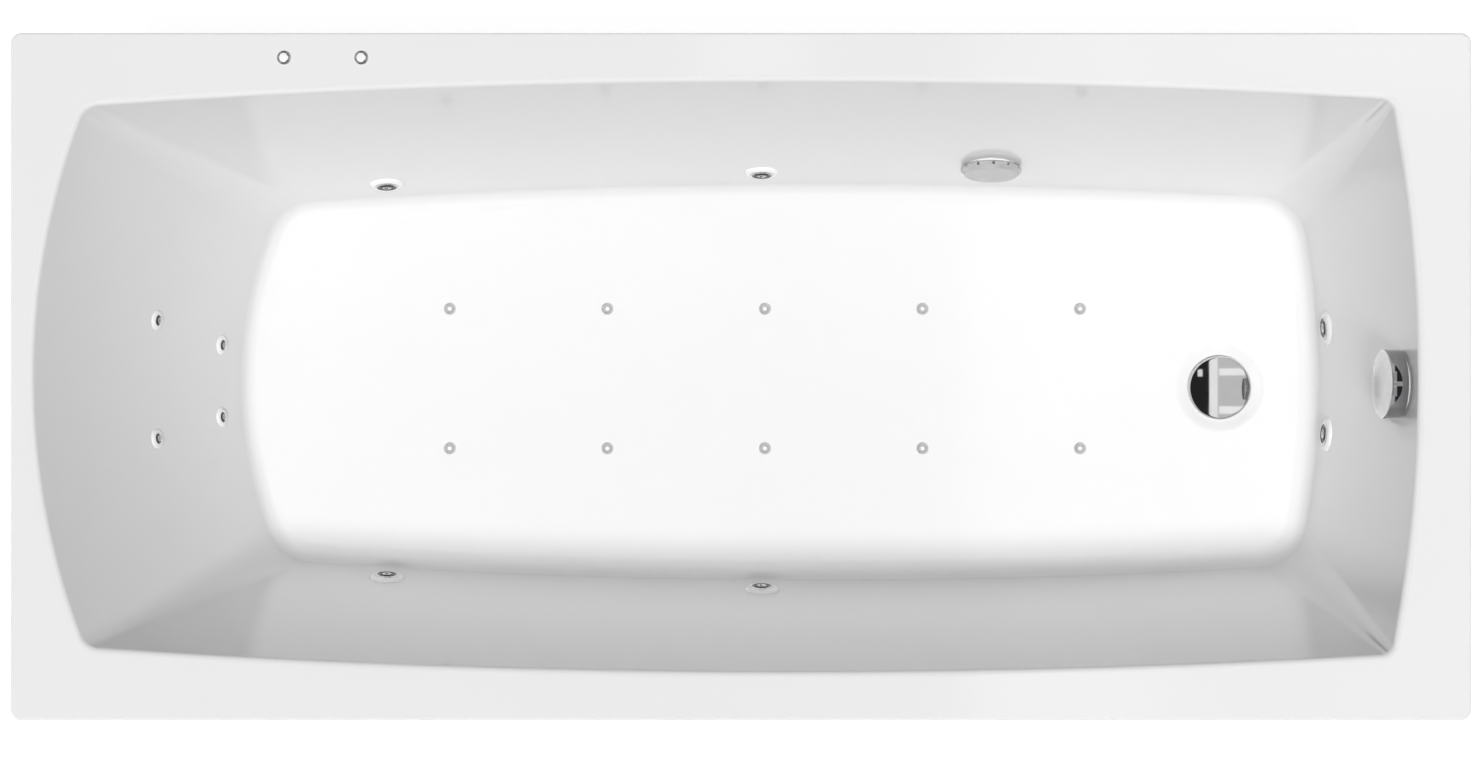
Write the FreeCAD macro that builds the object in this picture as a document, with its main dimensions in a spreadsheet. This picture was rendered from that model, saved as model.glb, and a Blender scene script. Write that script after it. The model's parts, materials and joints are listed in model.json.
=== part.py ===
"""A jetted bathtub: a white acrylic bath on a steel frame, with six turning water jets,
four back jets, ten air jets in the floor, a suction, a pump, a blower, a pop-up waste
that a turning overflow knob lifts, and two push buttons on the rim.

Millimetres. The origin is on the floor under the middle of the bath, +X runs to the waste
end, +Y to the side with the push buttons, and +Z is up.
"""
import FreeCAD
import Part
import math
import os

import Sketcher
from FreeCAD import Placement, Rotation, Vector

NO_TURN = Rotation()
X_AXIS = Vector(1, 0, 0)
Y_AXIS = Vector(0, 1, 0)
Z_AXIS = Vector(0, 0, 1)

# ------------------------------------------------------------------ driving dimensions

SIZES = (
    # the bath itself
    ("bath_length", 1700.0, "length over the rim"),
    ("bath_width", 800.0, "width over the rim"),
    ("bath_height", 580.0, "floor of the room to the top of the rim"),
    ("basin_depth", 435.0, "rim to the floor of the basin"),
    ("wall", 6.0, "acrylic with its glass fibre backing"),
    ("rim_corner", 12.0, "radius of the rim's corners seen from above"),
    ("rim_edge", 3.0, "rounding along the rim's outer edge"),
    ("lip_depth", 40.0, "how far the rim turns down"),
    ("opening_edge", 8.0, "rounding from the rim into the basin"),
    ("floor_fillet", 38.0, "rounding from the basin's floor into its walls"),
    # the basin's outline, at the rim and at the floor before its rounding
    ("rim_head", 25.0, "rim's width at the middle of the head end"),
    ("rim_foot", 61.0, "rim's width at the middle of the foot end"),
    ("rim_side", 56.0, "rim's width at the middle of a side"),
    ("rim_head_corner", 24.0, "corner radius at the rim, head end"),
    ("rim_foot_corner", 16.0, "corner radius at the rim, foot end"),
    ("head_slope", 188.0, "how far the head wall leans out from the floor to the rim"),
    ("foot_slope", 49.0, "how far the foot wall leans out"),
    ("side_slope", 94.0, "how far a side wall leans out"),
    ("floor_head_corner", 64.0, "corner radius at the floor, head end"),
    ("floor_foot_corner", 64.0, "corner radius at the floor, foot end"),
    ("head_sweep", 20.5, "degrees that the head end's arc turns each side of the middle"),
    ("foot_sweep", 10.5, "degrees that the foot end's arc turns each side of the middle"),
    ("side_sweep_head", 3.9, "degrees that a side's arc turns towards the head"),
    ("side_sweep_foot", 3.3, "degrees that a side's arc turns towards the foot"),
    # running and fitting clearances
    ("gap", 0.3, "clearance round what moves"),
    ("seat_depth", 0.3, "flat that a fitting's flange lies in"),
    # turning water jets
    ("jet_flange", 45.0, "diameter of a water jet's white flange"),
    ("jet_flange_edge", 1.2, "flange's thickness at its edge, above the wall"),
    ("jet_flange_rise", 4.2, "flange's height at its socket"),
    ("jet_neck", 33.5, "diameter of the threaded neck"),
    ("jet_neck_length", 26.0, "neck's length behind the wall's face"),
    ("jet_ring", 28.0, "diameter of the chrome ring"),
    ("jet_ring_rise", 6.2, "ring's height above the wall"),
    ("jet_ring_depth", 7.7, "ring's depth behind the wall's face"),
    ("jet_ball", 18.0, "diameter of the tilting ball"),
    ("jet_ball_flat", 5.6, "half the ball's length along its bore"),
    ("jet_bore", 8.0, "ball's bore"),
    ("jet_nut", 54.0, "lock nut across its corners"),
    ("jet_nut_thickness", 8.0, "lock nut's thickness"),
    ("jet_body", 44.0, "diameter of the jet's body behind the wall"),
    ("jet_body_wall", 4.0, "wall of the jet's body at its closed end"),
    ("jet_body_depth", 46.0, "depth of the jet's body behind the wall"),
    ("jet_stub", 26.0, "diameter of the body's pipe socket"),
    ("jet_stub_bore", 20.0, "bore of the pipe socket"),
    ("jet_stub_length", 34.0, "socket's length from the body's axis"),
    ("side_jet_height", 70.0, "side jets above the basin's floor"),
    ("side_jet_inset", 400.0, "side jets nearer the head end, from that end"),
    ("side_jet_middle", 26.0, "side jets nearer the foot end, from the bath's middle"),
    ("foot_jet_height", 62.0, "foot jets above the basin's floor"),
    ("foot_jet_y", 67.5, "foot jets from the middle"),
    # back jets
    ("micro_flange", 25.0, "diameter of a back jet's flange"),
    ("micro_neck", 16.0, "diameter of its neck"),
    ("micro_neck_length", 18.0, "neck's length behind the wall's face"),
    ("micro_nozzle", 13.0, "diameter of its nozzle"),
    ("micro_bore", 4.5, "nozzle's bore"),
    ("micro_body", 26.0, "diameter of its body behind the wall"),
    ("micro_body_depth", 24.0, "depth of its body"),
    ("micro_stub", 12.0, "diameter of its hose stub"),
    ("micro_stub_length", 19.0, "stub's length from the body's axis"),
    ("micro_hose", 10.0, "outside diameter of its hose"),
    ("micro_upper_height", 200.0, "upper back jets above the basin's floor"),
    ("micro_upper_y", 73.0, "upper back jets from the middle"),
    ("micro_lower_height", 60.0, "lower back jets above the basin's floor"),
    ("micro_lower_y", 46.0, "lower back jets from the middle"),
    # air jets
    ("air_flange", 15.5, "diameter of an air jet's cap"),
    ("air_cap_rise", 2.4, "cap's height above the floor"),
    ("air_stem", 8.0, "diameter of the cap's stem"),
    ("air_stem_length", 22.0, "stem's length below the basin's floor"),
    ("air_body", 18.0, "diameter of an air jet's body"),
    ("air_bore", 4.0, "air jet's bore"),
    ("air_first_inset", 474.0, "air jets nearest the head end, from that end"),
    ("air_last_inset", 413.0, "air jets nearest the foot end, from that end"),
    ("air_jets", 5, "air jets in a row"),
    ("air_half_spacing", 90.0, "half the spacing of the two rows"),
    ("air_centre_y", 4.0, "middle of the two rows"),
    # suction
    ("suction_cover", 76.0, "diameter of the suction's cover"),
    ("suction_rise", 14.0, "cover's height above the wall"),
    ("suction_slots", 12, "slots round the cover"),
    ("suction_flange", 64.0, "diameter of the flange under the cover"),
    ("suction_neck", 50.0, "diameter of its neck"),
    ("suction_body", 66.0, "diameter of its body behind the wall"),
    ("suction_body_depth", 40.0, "depth of its body"),
    ("suction_inset", 535.0, "suction from the foot end"),
    ("suction_height", 105.0, "suction above the basin's floor"),
    ("suction_pipe", 40.0, "outside diameter of the suction pipe"),
    ("suction_pipe_bore", 34.0, "bore of the suction pipe"),
    ("suction_pipe_rise", 5.0, "suction pipe along the side, above the level of the basin's floor"),
    # waste and overflow
    ("waste_inset", 233.0, "waste from the foot end"),
    ("waste_y", -8.0, "waste and overflow across the bath"),
    ("recess", 112.0, "diameter of the dished recess round the waste"),
    ("recess_floor", 84.0, "diameter of the recess's flat floor"),
    ("recess_depth", 4.0, "depth of the recess"),
    ("waste_flange", 76.0, "diameter of the waste's flange"),
    ("waste_flange_thickness", 2.0, "thickness of the waste's flange"),
    ("waste_neck", 48.0, "diameter of the waste's threaded neck"),
    ("waste_neck_bore", 42.0, "bore of the waste's neck"),
    ("waste_neck_length", 32.0, "length of the waste's neck"),
    ("plug", 82.0, "diameter of the plug's dome"),
    ("plug_rise", 8.5, "height of the plug's dome"),
    ("plug_stem", 8.0, "diameter of the plug's stem"),
    ("waste_body", 60.0, "diameter of the waste's body under the bath"),
    ("waste_body_drop", 51.0, "waste's body below the bath's underside"),
    ("trap", 72.0, "diameter of the trap"),
    ("trap_height", 64.0, "height of the trap"),
    ("trap_outlet", 40.0, "outside diameter of the trap's outlet"),
    ("trap_outlet_bore", 34.0, "bore of the trap's outlet"),
    ("trap_outlet_neck", 38.0, "outlet's diameter under its union nut"),
    ("trap_nut_length", 20.0, "length of the outlet's union nut"),
    ("trap_outlet_rise", 32.0, "trap's outlet above its underside"),
    ("trap_outlet_reach", 143.0, "waste to the end of the trap's outlet"),
    ("knob", 82.0, "diameter of the overflow knob"),
    ("knob_stand", 3.0, "slot behind the knob that water runs into"),
    ("knob_rise", 27.0, "knob's face above the wall"),
    ("knob_wall", 3.0, "wall of the hollow knob"),
    ("knob_shaft", 16.0, "diameter of the knob's shaft"),
    ("knob_shaft_length", 30.0, "shaft's length behind the wall's face"),
    ("overflow_flange", 68.0, "diameter of the flange behind the knob"),
    ("overflow_neck", 44.0, "diameter of its neck"),
    ("overflow_body", 58.0, "diameter of the overflow's body"),
    ("overflow_body_depth", 36.0, "depth of the overflow's body"),
    ("overflow_height", 367.0, "overflow above the basin's floor"),
    ("overflow_hose", 28.0, "outside diameter of the overflow's hose over its ribs"),
    ("overflow_hose_root", 25.0, "hose's outside diameter between its ribs"),
    ("overflow_hose_bore", 21.0, "hose's bore"),
    ("overflow_hose_rise", 24.0, "where the hose joins the waste, above the waste body's end"),
    ("rib_pitch", 8.0, "spacing of the hose's ribs"),
    ("cable", 6.0, "diameter of the lift cable"),
    # push buttons
    ("button_1_inset", 318.0, "button nearer the head end, from that end"),
    ("button_2_inset", 408.0, "button nearer the foot end, from the head end"),
    ("button_side", 29.0, "buttons from the rim's far edge"),
    ("bezel", 17.0, "diameter of a button's bezel"),
    ("bezel_rise", 1.6, "bezel's height above the rim"),
    ("button", 12.0, "diameter of a push button"),
    ("button_rise", 3.6, "button's height above the rim"),
    ("button_travel", 3.0, "how far a button goes in"),
    ("bellows", 20.0, "diameter of the bellows housing under the rim"),
    ("bellows_depth", 30.0, "depth of the bellows housing"),
    ("button_tube", 6.0, "diameter of a button's air tube"),
    # frame
    ("board_thickness", 18.0, "board under the basin's floor"),
    ("board_head_inset", 250.0, "board from the head end"),
    ("board_foot_inset", 310.0, "board from the foot end"),
    ("board_side", 50.0, "board's edge inside the edge of the basin's floor"),
    ("beam", 30.0, "side of the frame's square tube"),
    ("beam_wall", 2.0, "wall of the frame's square tube"),
    ("beam_inset", 25.0, "cross bearers' ends inside the rim's edge"),
    ("head_bearer_inset", 290.0, "cross bearer at the head end, from that end"),
    ("middle_bearer_x", -80.0, "cross bearer in the middle"),
    ("foot_bearer_inset", 330.0, "cross bearer at the foot end, from that end"),
    ("rail_inset", 220.0, "tray rails from the rim's edges"),
    ("rail_head_inset", 15.0, "tray rails from the head end"),
    ("rail_overhang", 20.0, "tray rails past the middle bearer's axis"),
    ("post", 25.0, "side of a rim post's square tube"),
    ("post_inset", 38.0, "rim posts from the rim's edges"),
    ("leg_inset", 65.0, "levelling legs from the rim's edges"),
    ("leg_stud", 12.0, "diameter of a leg's stud"),
    ("leg_stud_reach", 29.0, "how far a leg's stud stands above its bearer"),
    ("leg_pad", 50.0, "diameter of a leg's foot pad"),
    ("leg_pad_thickness", 6.0, "foot pad's thickness at its edge"),
    ("leg_nut", 21.0, "leg's nut across its corners"),
    ("leg_nut_thickness", 10.0, "leg's nut thickness"),
    ("bolt", 8.0, "diameter of the frame's bolts"),
    ("bolt_head", 15.0, "bolt's head across its corners"),
    ("bolt_head_thickness", 5.5, "bolt's head thickness"),
    ("tray_thickness", 3.0, "equipment tray's sheet"),
    ("tray_reach", 175.0, "tray's length along the rails"),
    ("tray_inset", 60.0, "tray's near edge from the rim's near edge"),
    ("tray_overhang", 20.0, "tray's far edge past the far rail's axis"),
    ("tray_flange", 20.0, "tray's turned up edge"),
    # pump and pipes
    ("pump_inset", 98.0, "pump's axis from the head end"),
    ("pump_mount", 10.0, "height of the pump's rubber mounts"),
    ("pump_mount_diameter", 24.0, "diameter of the pump's rubber mounts"),
    ("pump_plate", 4.0, "thickness of the motor's foot plate"),
    ("motor", 124.0, "diameter of the motor"),
    ("motor_length", 150.0, "length of the motor"),
    ("motor_front_y", 70.0, "motor's front face"),
    ("stator_bore", 66.0, "bore of the motor's windings"),
    ("cowl_length", 45.0, "length of the fan's cowl"),
    ("cowl_wall", 3.0, "wall of the fan's cowl"),
    ("volute", 116.0, "diameter of the pump's volute"),
    ("volute_length", 55.0, "length of the pump's volute"),
    ("volute_wall", 6.0, "wall of the pump's volute"),
    ("impeller", 80.0, "diameter of the impeller"),
    ("shaft", 12.0, "diameter of the pump's shaft"),
    ("inlet", 48.0, "diameter of the pump's inlet union"),
    ("inlet_length", 30.0, "length of the pump's inlet union"),
    ("outlet_rise", 78.0, "pump's outlet union above its axis"),
    ("main_pipe", 32.0, "outside diameter of the pressure pipe"),
    ("main_pipe_bore", 26.0, "bore of the pressure pipe"),
    ("main_pipe_rise", 155.0, "pressure pipe above the level of the basin's floor"),
    ("main_pipe_side", 82.0, "pressure pipe from the rim's edges, along the sides"),
    ("main_pipe_foot", 55.0, "pressure pipe from the foot end"),
    ("pipe_bend", 45.0, "radius of the water pipes' bends"),
    # blower and air pipes
    ("blower_inset", 95.0, "blower from the head end"),
    ("blower_side", 138.0, "blower from the rim's near edge"),
    ("blower", 124.0, "diameter of the blower"),
    ("blower_height", 96.0, "height of the blower"),
    ("blower_wall", 4.0, "wall of the blower's casing"),
    ("blower_wheel", 100.0, "diameter of the blower's wheel"),
    ("spout_rise", 24.0, "blower's spout above the tray"),
    ("spout_reach", 75.0, "blower's axis to its spout's end"),
    ("air_pipe", 25.0, "outside diameter of the air pipes"),
    ("air_pipe_bore", 20.0, "bore of the air pipes"),
    ("air_feed", 23.0, "outside diameter of the air feed and of the link between the rows"),
    ("air_feed_bore", 18.0, "bore of the air feed and of the link"),
    ("air_pipe_drop", 63.0, "air pipes below the bath's underside"),
    ("air_feed_x", -20.0, "where the air feed crosses under the bath"),
    ("air_drop_inset", 210.0, "where the air feed drops below the bearers, from the head end"),
    ("air_row_margin", 24.0, "air row's end beyond its last jet"),
    # control box
    ("box_length", 122.5, "length of the control box"),
    ("box_width", 52.0, "width of the control box"),
    ("box_height", 120.0, "height of the control box"),
    ("box_wall", 3.0, "wall of the control box"),
    ("box_inset", 22.0, "control box's inner face from its post's middle"),
    ("box_drop", 250.0, "control box's underside below the rim"),
    ("gland", 18.0, "diameter of the mains cable's gland"),
    ("gland_bore", 9.0, "bore of the mains cable's gland"),
    ("gland_length", 15.0, "length of the mains cable's gland"),
)

doc = FreeCAD.newDocument("jetted_bathtub")
sheet = doc.addObject("Spreadsheet::Sheet", "Size")
for row, (alias, value, meaning) in enumerate(SIZES, start=1):
    sheet.set(f"A{row}", meaning)
    sheet.set(f"B{row}", str(value))
    sheet.setAlias(f"B{row}", alias)
doc.recompute()


def size(alias):
    """A driving dimension, as a plain number."""
    return float(sheet.get(alias))


def number(formula):
    """The value of a formula on the sheet's sizes."""
    if isinstance(formula, str):
        return float(sheet.evalExpression(formula))
    return float(formula)


# the bath's ends, and its levels from the rim down
FOOT_END = size("bath_length") / 2
HEAD_END = -FOOT_END
SIDE_END = size("bath_width") / 2
RIM_TOP = size("bath_height")
RIM_UNDER = RIM_TOP - size("wall")
FLOOR_TOP = RIM_TOP - size("basin_depth")
FLOOR_UNDER = FLOOR_TOP - size("wall")
BOARD_UNDER = FLOOR_UNDER - size("board_thickness")
BEARER_UNDER = BOARD_UNDER - size("beam")
RAIL_UNDER = BEARER_UNDER - size("beam")
TRAY_TOP = BEARER_UNDER + size("tray_thickness")
# the basin, at the rim and at its floor
BASIN_HEAD = HEAD_END + size("rim_head")
BASIN_FOOT = FOOT_END - size("rim_foot")
BASIN_SIDE = SIDE_END - size("rim_side")
FLOOR_HEAD = BASIN_HEAD + size("head_slope")
FLOOR_FOOT = BASIN_FOOT - size("foot_slope")
FLOOR_SIDE = BASIN_SIDE - size("side_slope")
# what stands on the basin's floor and on the rim
AIR_ROWS = tuple(size("air_centre_y") + side * size("air_half_spacing") for side in (1, -1))
AIR_FIRST = HEAD_END + size("air_first_inset")
AIR_PITCH = (FOOT_END - size("air_last_inset") - AIR_FIRST) / (size("air_jets") - 1)
AIR_STATIONS = tuple(AIR_FIRST + step * AIR_PITCH for step in range(round(size("air_jets"))))
WASTE_X = FOOT_END - size("waste_inset")
BUTTON_Y = SIDE_END - size("button_side")
BUTTON_STATIONS = tuple(HEAD_END + size(f"button_{index}_inset") for index in (1, 2))
# the waste and its trap
WASTE_BODY_END = FLOOR_UNDER - size("waste_body_drop")
HOSE_Z = WASTE_BODY_END + size("overflow_hose_rise")
TRAP_UNDER = WASTE_BODY_END - size("trap_height")
OUTLET_Z = TRAP_UNDER + size("trap_outlet_rise")
# the frame
HEAD_BEARER = HEAD_END + size("head_bearer_inset")
MIDDLE_BEARER = size("middle_bearer_x")
FOOT_BEARER = FOOT_END - size("foot_bearer_inset")
BEARER_STATIONS = (HEAD_BEARER, MIDDLE_BEARER, FOOT_BEARER)
BEARER_REACH = SIDE_END - size("beam_inset")
RAIL_Y = SIDE_END - size("rail_inset")
RAIL_HEAD = HEAD_END + size("rail_head_inset")
POST_Y = SIDE_END - size("post_inset")
LEG_Y = SIDE_END - size("leg_inset")
LEG_TOP = BOARD_UNDER + size("leg_stud_reach")
# the pump, the blower and their pipes
PUMP_X = HEAD_END + size("pump_inset")
PUMP_Z = TRAY_TOP + size("pump_mount") + 1.5 * size("pump_plate") + size("motor") / 2
VOLUTE_BACK_Y = size("motor_front_y")
VOLUTE_FRONT_Y = VOLUTE_BACK_Y + size("volute_length")
VOLUTE_MIDDLE_Y = (VOLUTE_BACK_Y + VOLUTE_FRONT_Y) / 2
INLET_END_Y = VOLUTE_FRONT_Y + size("inlet_length")
OUTLET_TOP = PUMP_Z + size("outlet_rise")
MAIN_X = FOOT_END - size("main_pipe_foot")
MAIN_Y = SIDE_END - size("main_pipe_side")
MAIN_Z = FLOOR_TOP + size("main_pipe_rise")
SUCTION_PIPE_Z = FLOOR_TOP + size("suction_pipe_rise")
BLOWER_X = HEAD_END + size("blower_inset")
BLOWER_Y = size("blower_side") - SIDE_END
SPOUT_Z = TRAY_TOP + size("spout_rise")
AIR_PIPE_Z = FLOOR_UNDER - size("air_pipe_drop")
AIR_DROP_X = HEAD_END + size("air_drop_inset")
BOX_UNDER = RIM_TOP - size("box_drop")


# --------------------------------------------------------------------- shape helpers

def bind(thing, **formulas):
    """Ties a thing's properties to formulas on the sheet, or sets plain numbers."""
    for name, formula in formulas.items():
        if isinstance(formula, str):
            thing.setExpression(name, formula)
        else:
            setattr(thing, name, formula)
    return thing


def at(x, y, z):
    """A placement that only moves."""
    return Placement(Vector(x, y, z), NO_TURN)


def along(start, direction):
    """A placement whose +Z points along a direction."""
    return Placement(Vector(start), Rotation(Z_AXIS, Vector(direction)))


def placed(thing, place):
    """Puts a thing in its place."""
    thing.Placement = place
    return thing


def cylinder(name, radius, height, place):
    """A round bar from a placement's origin along its +Z."""
    return placed(bind(doc.addObject("Part::Cylinder", name), Radius=radius, Height=height), place)


def hexagon(name, across, height, place):
    """A six-sided bar, sized across its corners."""
    thing = bind(doc.addObject("Part::Prism", name), Circumradius=across + " / 2", Height=height)
    thing.Polygon = 6
    return placed(thing, place)


def block(name, low, high):
    """A box between its lowest and highest corners."""
    thing = doc.addObject("Part::Box", name)
    thing.Length, thing.Width, thing.Height = Vector(high) - Vector(low)
    return placed(thing, at(*low))


def rod(name, radius, start, end):
    """A round bar between two points."""
    run = Vector(end) - Vector(start)
    return cylinder(name, radius, run.Length, along(start, run))


def fuse(name, *things):
    """One solid of several."""
    thing = doc.addObject("Part::MultiFuse", name)
    thing.Shapes = list(things)
    return thing


def group(name, things):
    """Separate solids kept in one place."""
    thing = doc.addObject("Part::Compound", name)
    thing.Links = list(things)
    return thing


def cut(name, base, *tools):
    """A solid less others."""
    tool = tools[0] if len(tools) == 1 else group(name + "_tools", tools)
    thing = doc.addObject("Part::Cut", name)
    thing.Base = base
    thing.Tool = tool
    return thing


def arc_through(start, end, radius):
    """The short arc between two points, which bulges right of its way when radius is positive."""
    half = (end - start) * 0.5
    right = Vector(half.y, -half.x, 0).normalize() * math.copysign(1, radius)
    centre = start + half - right * math.sqrt(radius ** 2 - half.Length ** 2)
    return Part.Arc(start, centre + right * abs(radius), end)


def turned(name, profile, place=Placement()):
    """A body turned about its own Z axis.

    The profile is a closed outline of (radius, height) corners, in formulas. A third value
    is the radius of the arc that leads to the next corner.
    """
    body = doc.addObject("PartDesign::Body", name)
    sketch = body.newObject("Sketcher::SketchObject", name + "_profile")
    upright = [plane for plane in body.Origin.OriginFeatures if plane.Role == "XZ_Plane"]
    sketch.AttachmentSupport = [(upright[0], "")]
    sketch.MapMode = "FlatFace"
    corners = [Vector(number(corner[0]), number(corner[1]), 0) for corner in profile]
    ends = []
    for index, corner in enumerate(profile):
        start = corners[index]
        end = corners[(index + 1) % len(corners)]
        if len(corner) == 2:
            ends.append((sketch.addGeometry(Part.LineSegment(start, end), False), 1, 2))
            continue
        edge = sketch.addGeometry(arc_through(start, end, number(corner[2])), False)
        first = 1 if (sketch.getPoint(edge, 1) - start).Length < 1e-6 else 2
        ends.append((edge, first, 3 - first))
        radius = abs(number(corner[2]))
        limit(sketch, f"arc_{index}", Sketcher.Constraint("Radius", edge, radius), f"abs({corner[2]})")
    for index, (edge, first, last) in enumerate(ends):
        following, start, _ = ends[(index + 1) % len(ends)]
        sketch.addConstraint(Sketcher.Constraint("Coincident", edge, last, following, start))
        across = Sketcher.Constraint("DistanceX", -1, 1, edge, first, corners[index].x)
        limit(sketch, f"radius_{index}", across, profile[index][0])
        up = Sketcher.Constraint("DistanceY", -1, 1, edge, first, corners[index].y)
        limit(sketch, f"height_{index}", up, profile[index][1])
    turning = body.newObject("PartDesign::Revolution", name + "_turning")
    turning.Profile = sketch
    turning.ReferenceAxis = (sketch, ["V_Axis"])
    turning.Angle = 360
    return placed(body, place)


def limit(sketch, name, constraint, formula):
    """Adds a named constraint and ties it to its formula."""
    index = sketch.addConstraint(constraint)
    sketch.renameConstraint(index, name)
    if isinstance(formula, str):
        sketch.setExpression("Constraints." + name, formula)


def bent_path(points, bend):
    """Straight runs joined by tangent arcs, as one wire."""
    edges = []
    start = Vector(points[0])
    for before, corner, after in zip(points, points[1:], points[2:]):
        corner = Vector(corner)
        way_in = (corner - Vector(before)).normalize()
        way_out = (Vector(after) - corner).normalize()
        turn = way_in.getAngle(way_out)
        reach = bend * math.tan(turn / 2)
        enter = corner - way_in * reach
        leave = corner + way_out * reach
        inward = (way_out - way_in).normalize()
        middle = corner + inward * (bend / math.cos(turn / 2) - bend)
        if (enter - start).Length > 1e-6:
            edges.append(Part.LineSegment(start, enter).toShape())
        edges.append(Part.Arc(enter, middle, leave).toShape())
        start = leave
    edges.append(Part.LineSegment(start, Vector(points[-1])).toShape())
    return Part.Wire(edges)


def swept(name, path, radius):
    """A round bar along a wire."""
    spine = doc.addObject("Part::Feature", name + "_path")
    spine.Shape = path
    first = path.Edges[0]
    circle = bind(doc.addObject("Part::Circle", name + "_circle"), Radius=radius)
    circle.Placement = along(first.valueAt(first.FirstParameter), first.tangentAt(first.FirstParameter))
    thing = doc.addObject("Part::Sweep", name)
    thing.Sections = [circle]
    thing.Spine = (spine, [])
    thing.Solid = True
    thing.Frenet = False
    return thing


def pipe_spans(name, path, outer, bore, ports=()):
    """A pipe line as its straight lengths and its elbows, with ports cut into the lengths."""
    spans = []
    for edge in path.Edges:
        stretch = Part.Wire([edge])
        tools = [swept(name + "_bore", stretch, bore)]
        if edge.Curve.TypeId == "Part::GeomLine":
            tools += ports
        spans.append(cut(name, swept(name + "_outside", stretch, outer), *tools))
    return spans


def tube_beam(name, low, high, wall, way):
    """A square tube, open at both ends along one axis."""
    inset = Vector(wall, wall, wall)
    inset[way] = -wall
    outer = block(name + "_outside", low, high)
    inner = block(name + "_inside", Vector(low) + inset, Vector(high) - inset)
    return cut(name, outer, inner)


# -------------------------------------------------------------------- the basin's form

def facing(degrees):
    """The level direction at an angle from -X towards +Y."""
    angle = math.radians(degrees)
    return Vector(-math.cos(angle), math.sin(angle), 0)


def basin_arcs(level):
    """The basin's outline at a level: eight tangent arcs of (centre, radius, from, to)."""
    share = (level - FLOOR_TOP) / (RIM_TOP - FLOOR_TOP)

    def between(low, high):
        return low + (high - low) * share

    head = between(FLOOR_HEAD, BASIN_HEAD)
    foot = between(FLOOR_FOOT, BASIN_FOOT)
    half_width = between(FLOOR_SIDE, BASIN_SIDE)
    head_corner = between(size("floor_head_corner"), size("rim_head_corner"))
    foot_corner = between(size("floor_foot_corner"), size("rim_foot_corner"))
    head_turn, foot_turn = size("head_sweep"), size("foot_sweep")
    head_side, foot_side = size("side_sweep_head"), size("side_sweep_foot")
    ends = []
    for end_turn, side_turn, corner in ((head_turn, head_side, head_corner),
                                        (foot_turn, foot_side, foot_corner)):
        a, b = math.radians(end_turn), math.radians(side_turn)
        ends.append((math.sin(a), math.tan(a / 2), math.sin(b), 1 - math.cos(b),
                     math.cos(b) - math.sin(a), math.cos(a) - math.sin(b), corner))
    # the side's radius closes the length, and each end's radius closes its half width
    length = foot - head
    divisor = 0
    for sine, rise, side_sine, side_sag, corner_up, corner_along, corner in ends:
        length -= rise * (half_width - corner * corner_up) + corner * corner_along
        divisor += side_sine - rise * side_sag
    side_radius = length / divisor
    radii = [(half_width - side_radius * side_sag - corner * corner_up) / sine
             for sine, _, _, side_sag, corner_up, _, corner in ends]
    head_radius, foot_radius = radii
    turns = (head_turn, 90 - head_side, 90 + foot_side, 180 - foot_turn)
    sizes = (head_radius, head_corner, side_radius, foot_corner, foot_radius)
    centre = Vector(head + head_radius, 0, level)
    arcs = [(centre, head_radius, -head_turn, head_turn)]
    for turn, following, before, after in zip(turns, turns[1:] + (180 + foot_turn,), sizes, sizes[1:]):
        centre = centre + facing(turn) * (before - after)
        arcs.append((centre, after, turn, following))
    for centre, radius, start, end in reversed(arcs[1:4]):
        arcs.append((Vector(centre.x, -centre.y, level), radius, 360 - end, 360 - start))
    return arcs


def basin_wire(level, grow):
    """The basin's outline at a level, grown outwards."""
    edges = []
    for centre, radius, start, end in basin_arcs(level):
        points = [centre + facing(angle) * (radius + grow) for angle in (start, (start + end) / 2, end)]
        edges.append(Part.Arc(*points).toShape())
    return Part.Wire(edges)


def basin_solid(low, high, grow, rounding):
    """The basin's form between two levels, with its floor's edge rounded."""
    solid = Part.makeLoft([basin_wire(low, grow), basin_wire(high, grow)], True, True)
    edge = [line for line in solid.Edges
            if abs(line.BoundBox.ZMin - low) < 1e-3 and abs(line.BoundBox.ZMax - low) < 1e-3]
    return solid.makeFillet(rounding, edge)


class WallSpot:
    """A place on the basin's wall, for a fitting to sit square to the wall."""

    ARC_OF_SIDE = {"head": 0, "far": 2, "foot": 4, "near": 6}

    def __init__(self, side, station, height):
        """A station is along the bath on the far and near sides, and across it on the ends."""
        level = FLOOR_TOP + height
        index = self.ARC_OF_SIDE[side]
        centre, radius, _, _ = basin_arcs(level)[index]
        if side in ("far", "near"):
            turn = math.degrees(math.acos((centre.x - station) / radius))
            angle = turn if side == "far" else 360 - turn
        else:
            turn = math.degrees(math.asin((station - centre.y) / radius))
            angle = turn if side == "head" else 180 - turn
        outward = facing(angle)
        reach = [basin_arcs(z)[index][0].dot(outward) + basin_arcs(z)[index][1]
                 for z in (FLOOR_TOP, RIM_TOP)]
        slope = (reach[1] - reach[0]) / (RIM_TOP - FLOOR_TOP)
        self.face = centre + outward * radius
        self.inward = (outward * -1 + Z_AXIS * slope).normalize()
        self.thickness = size("wall") / math.sqrt(1 + slope ** 2)
        sideways = Z_AXIS.cross(self.inward).normalize()
        self.turn = Rotation(sideways, self.inward.cross(sideways), self.inward, "ZXY")

    def front(self, depth=0.0):
        """The placement on the wall's face, or deeper behind it, with +Z into the basin."""
        return Placement(self.face - self.inward * depth, self.turn)

    def back_depth(self):
        """From the wall's face to the flat on its back."""
        return self.thickness - size("seat_depth")

    def back(self):
        """The placement on the flat on the wall's back."""
        return self.front(self.back_depth())

    def behind(self, depth):
        """A point on the fitting's axis, from the flat on the wall's back."""
        return self.face - self.inward * (self.back_depth() + depth)


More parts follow.
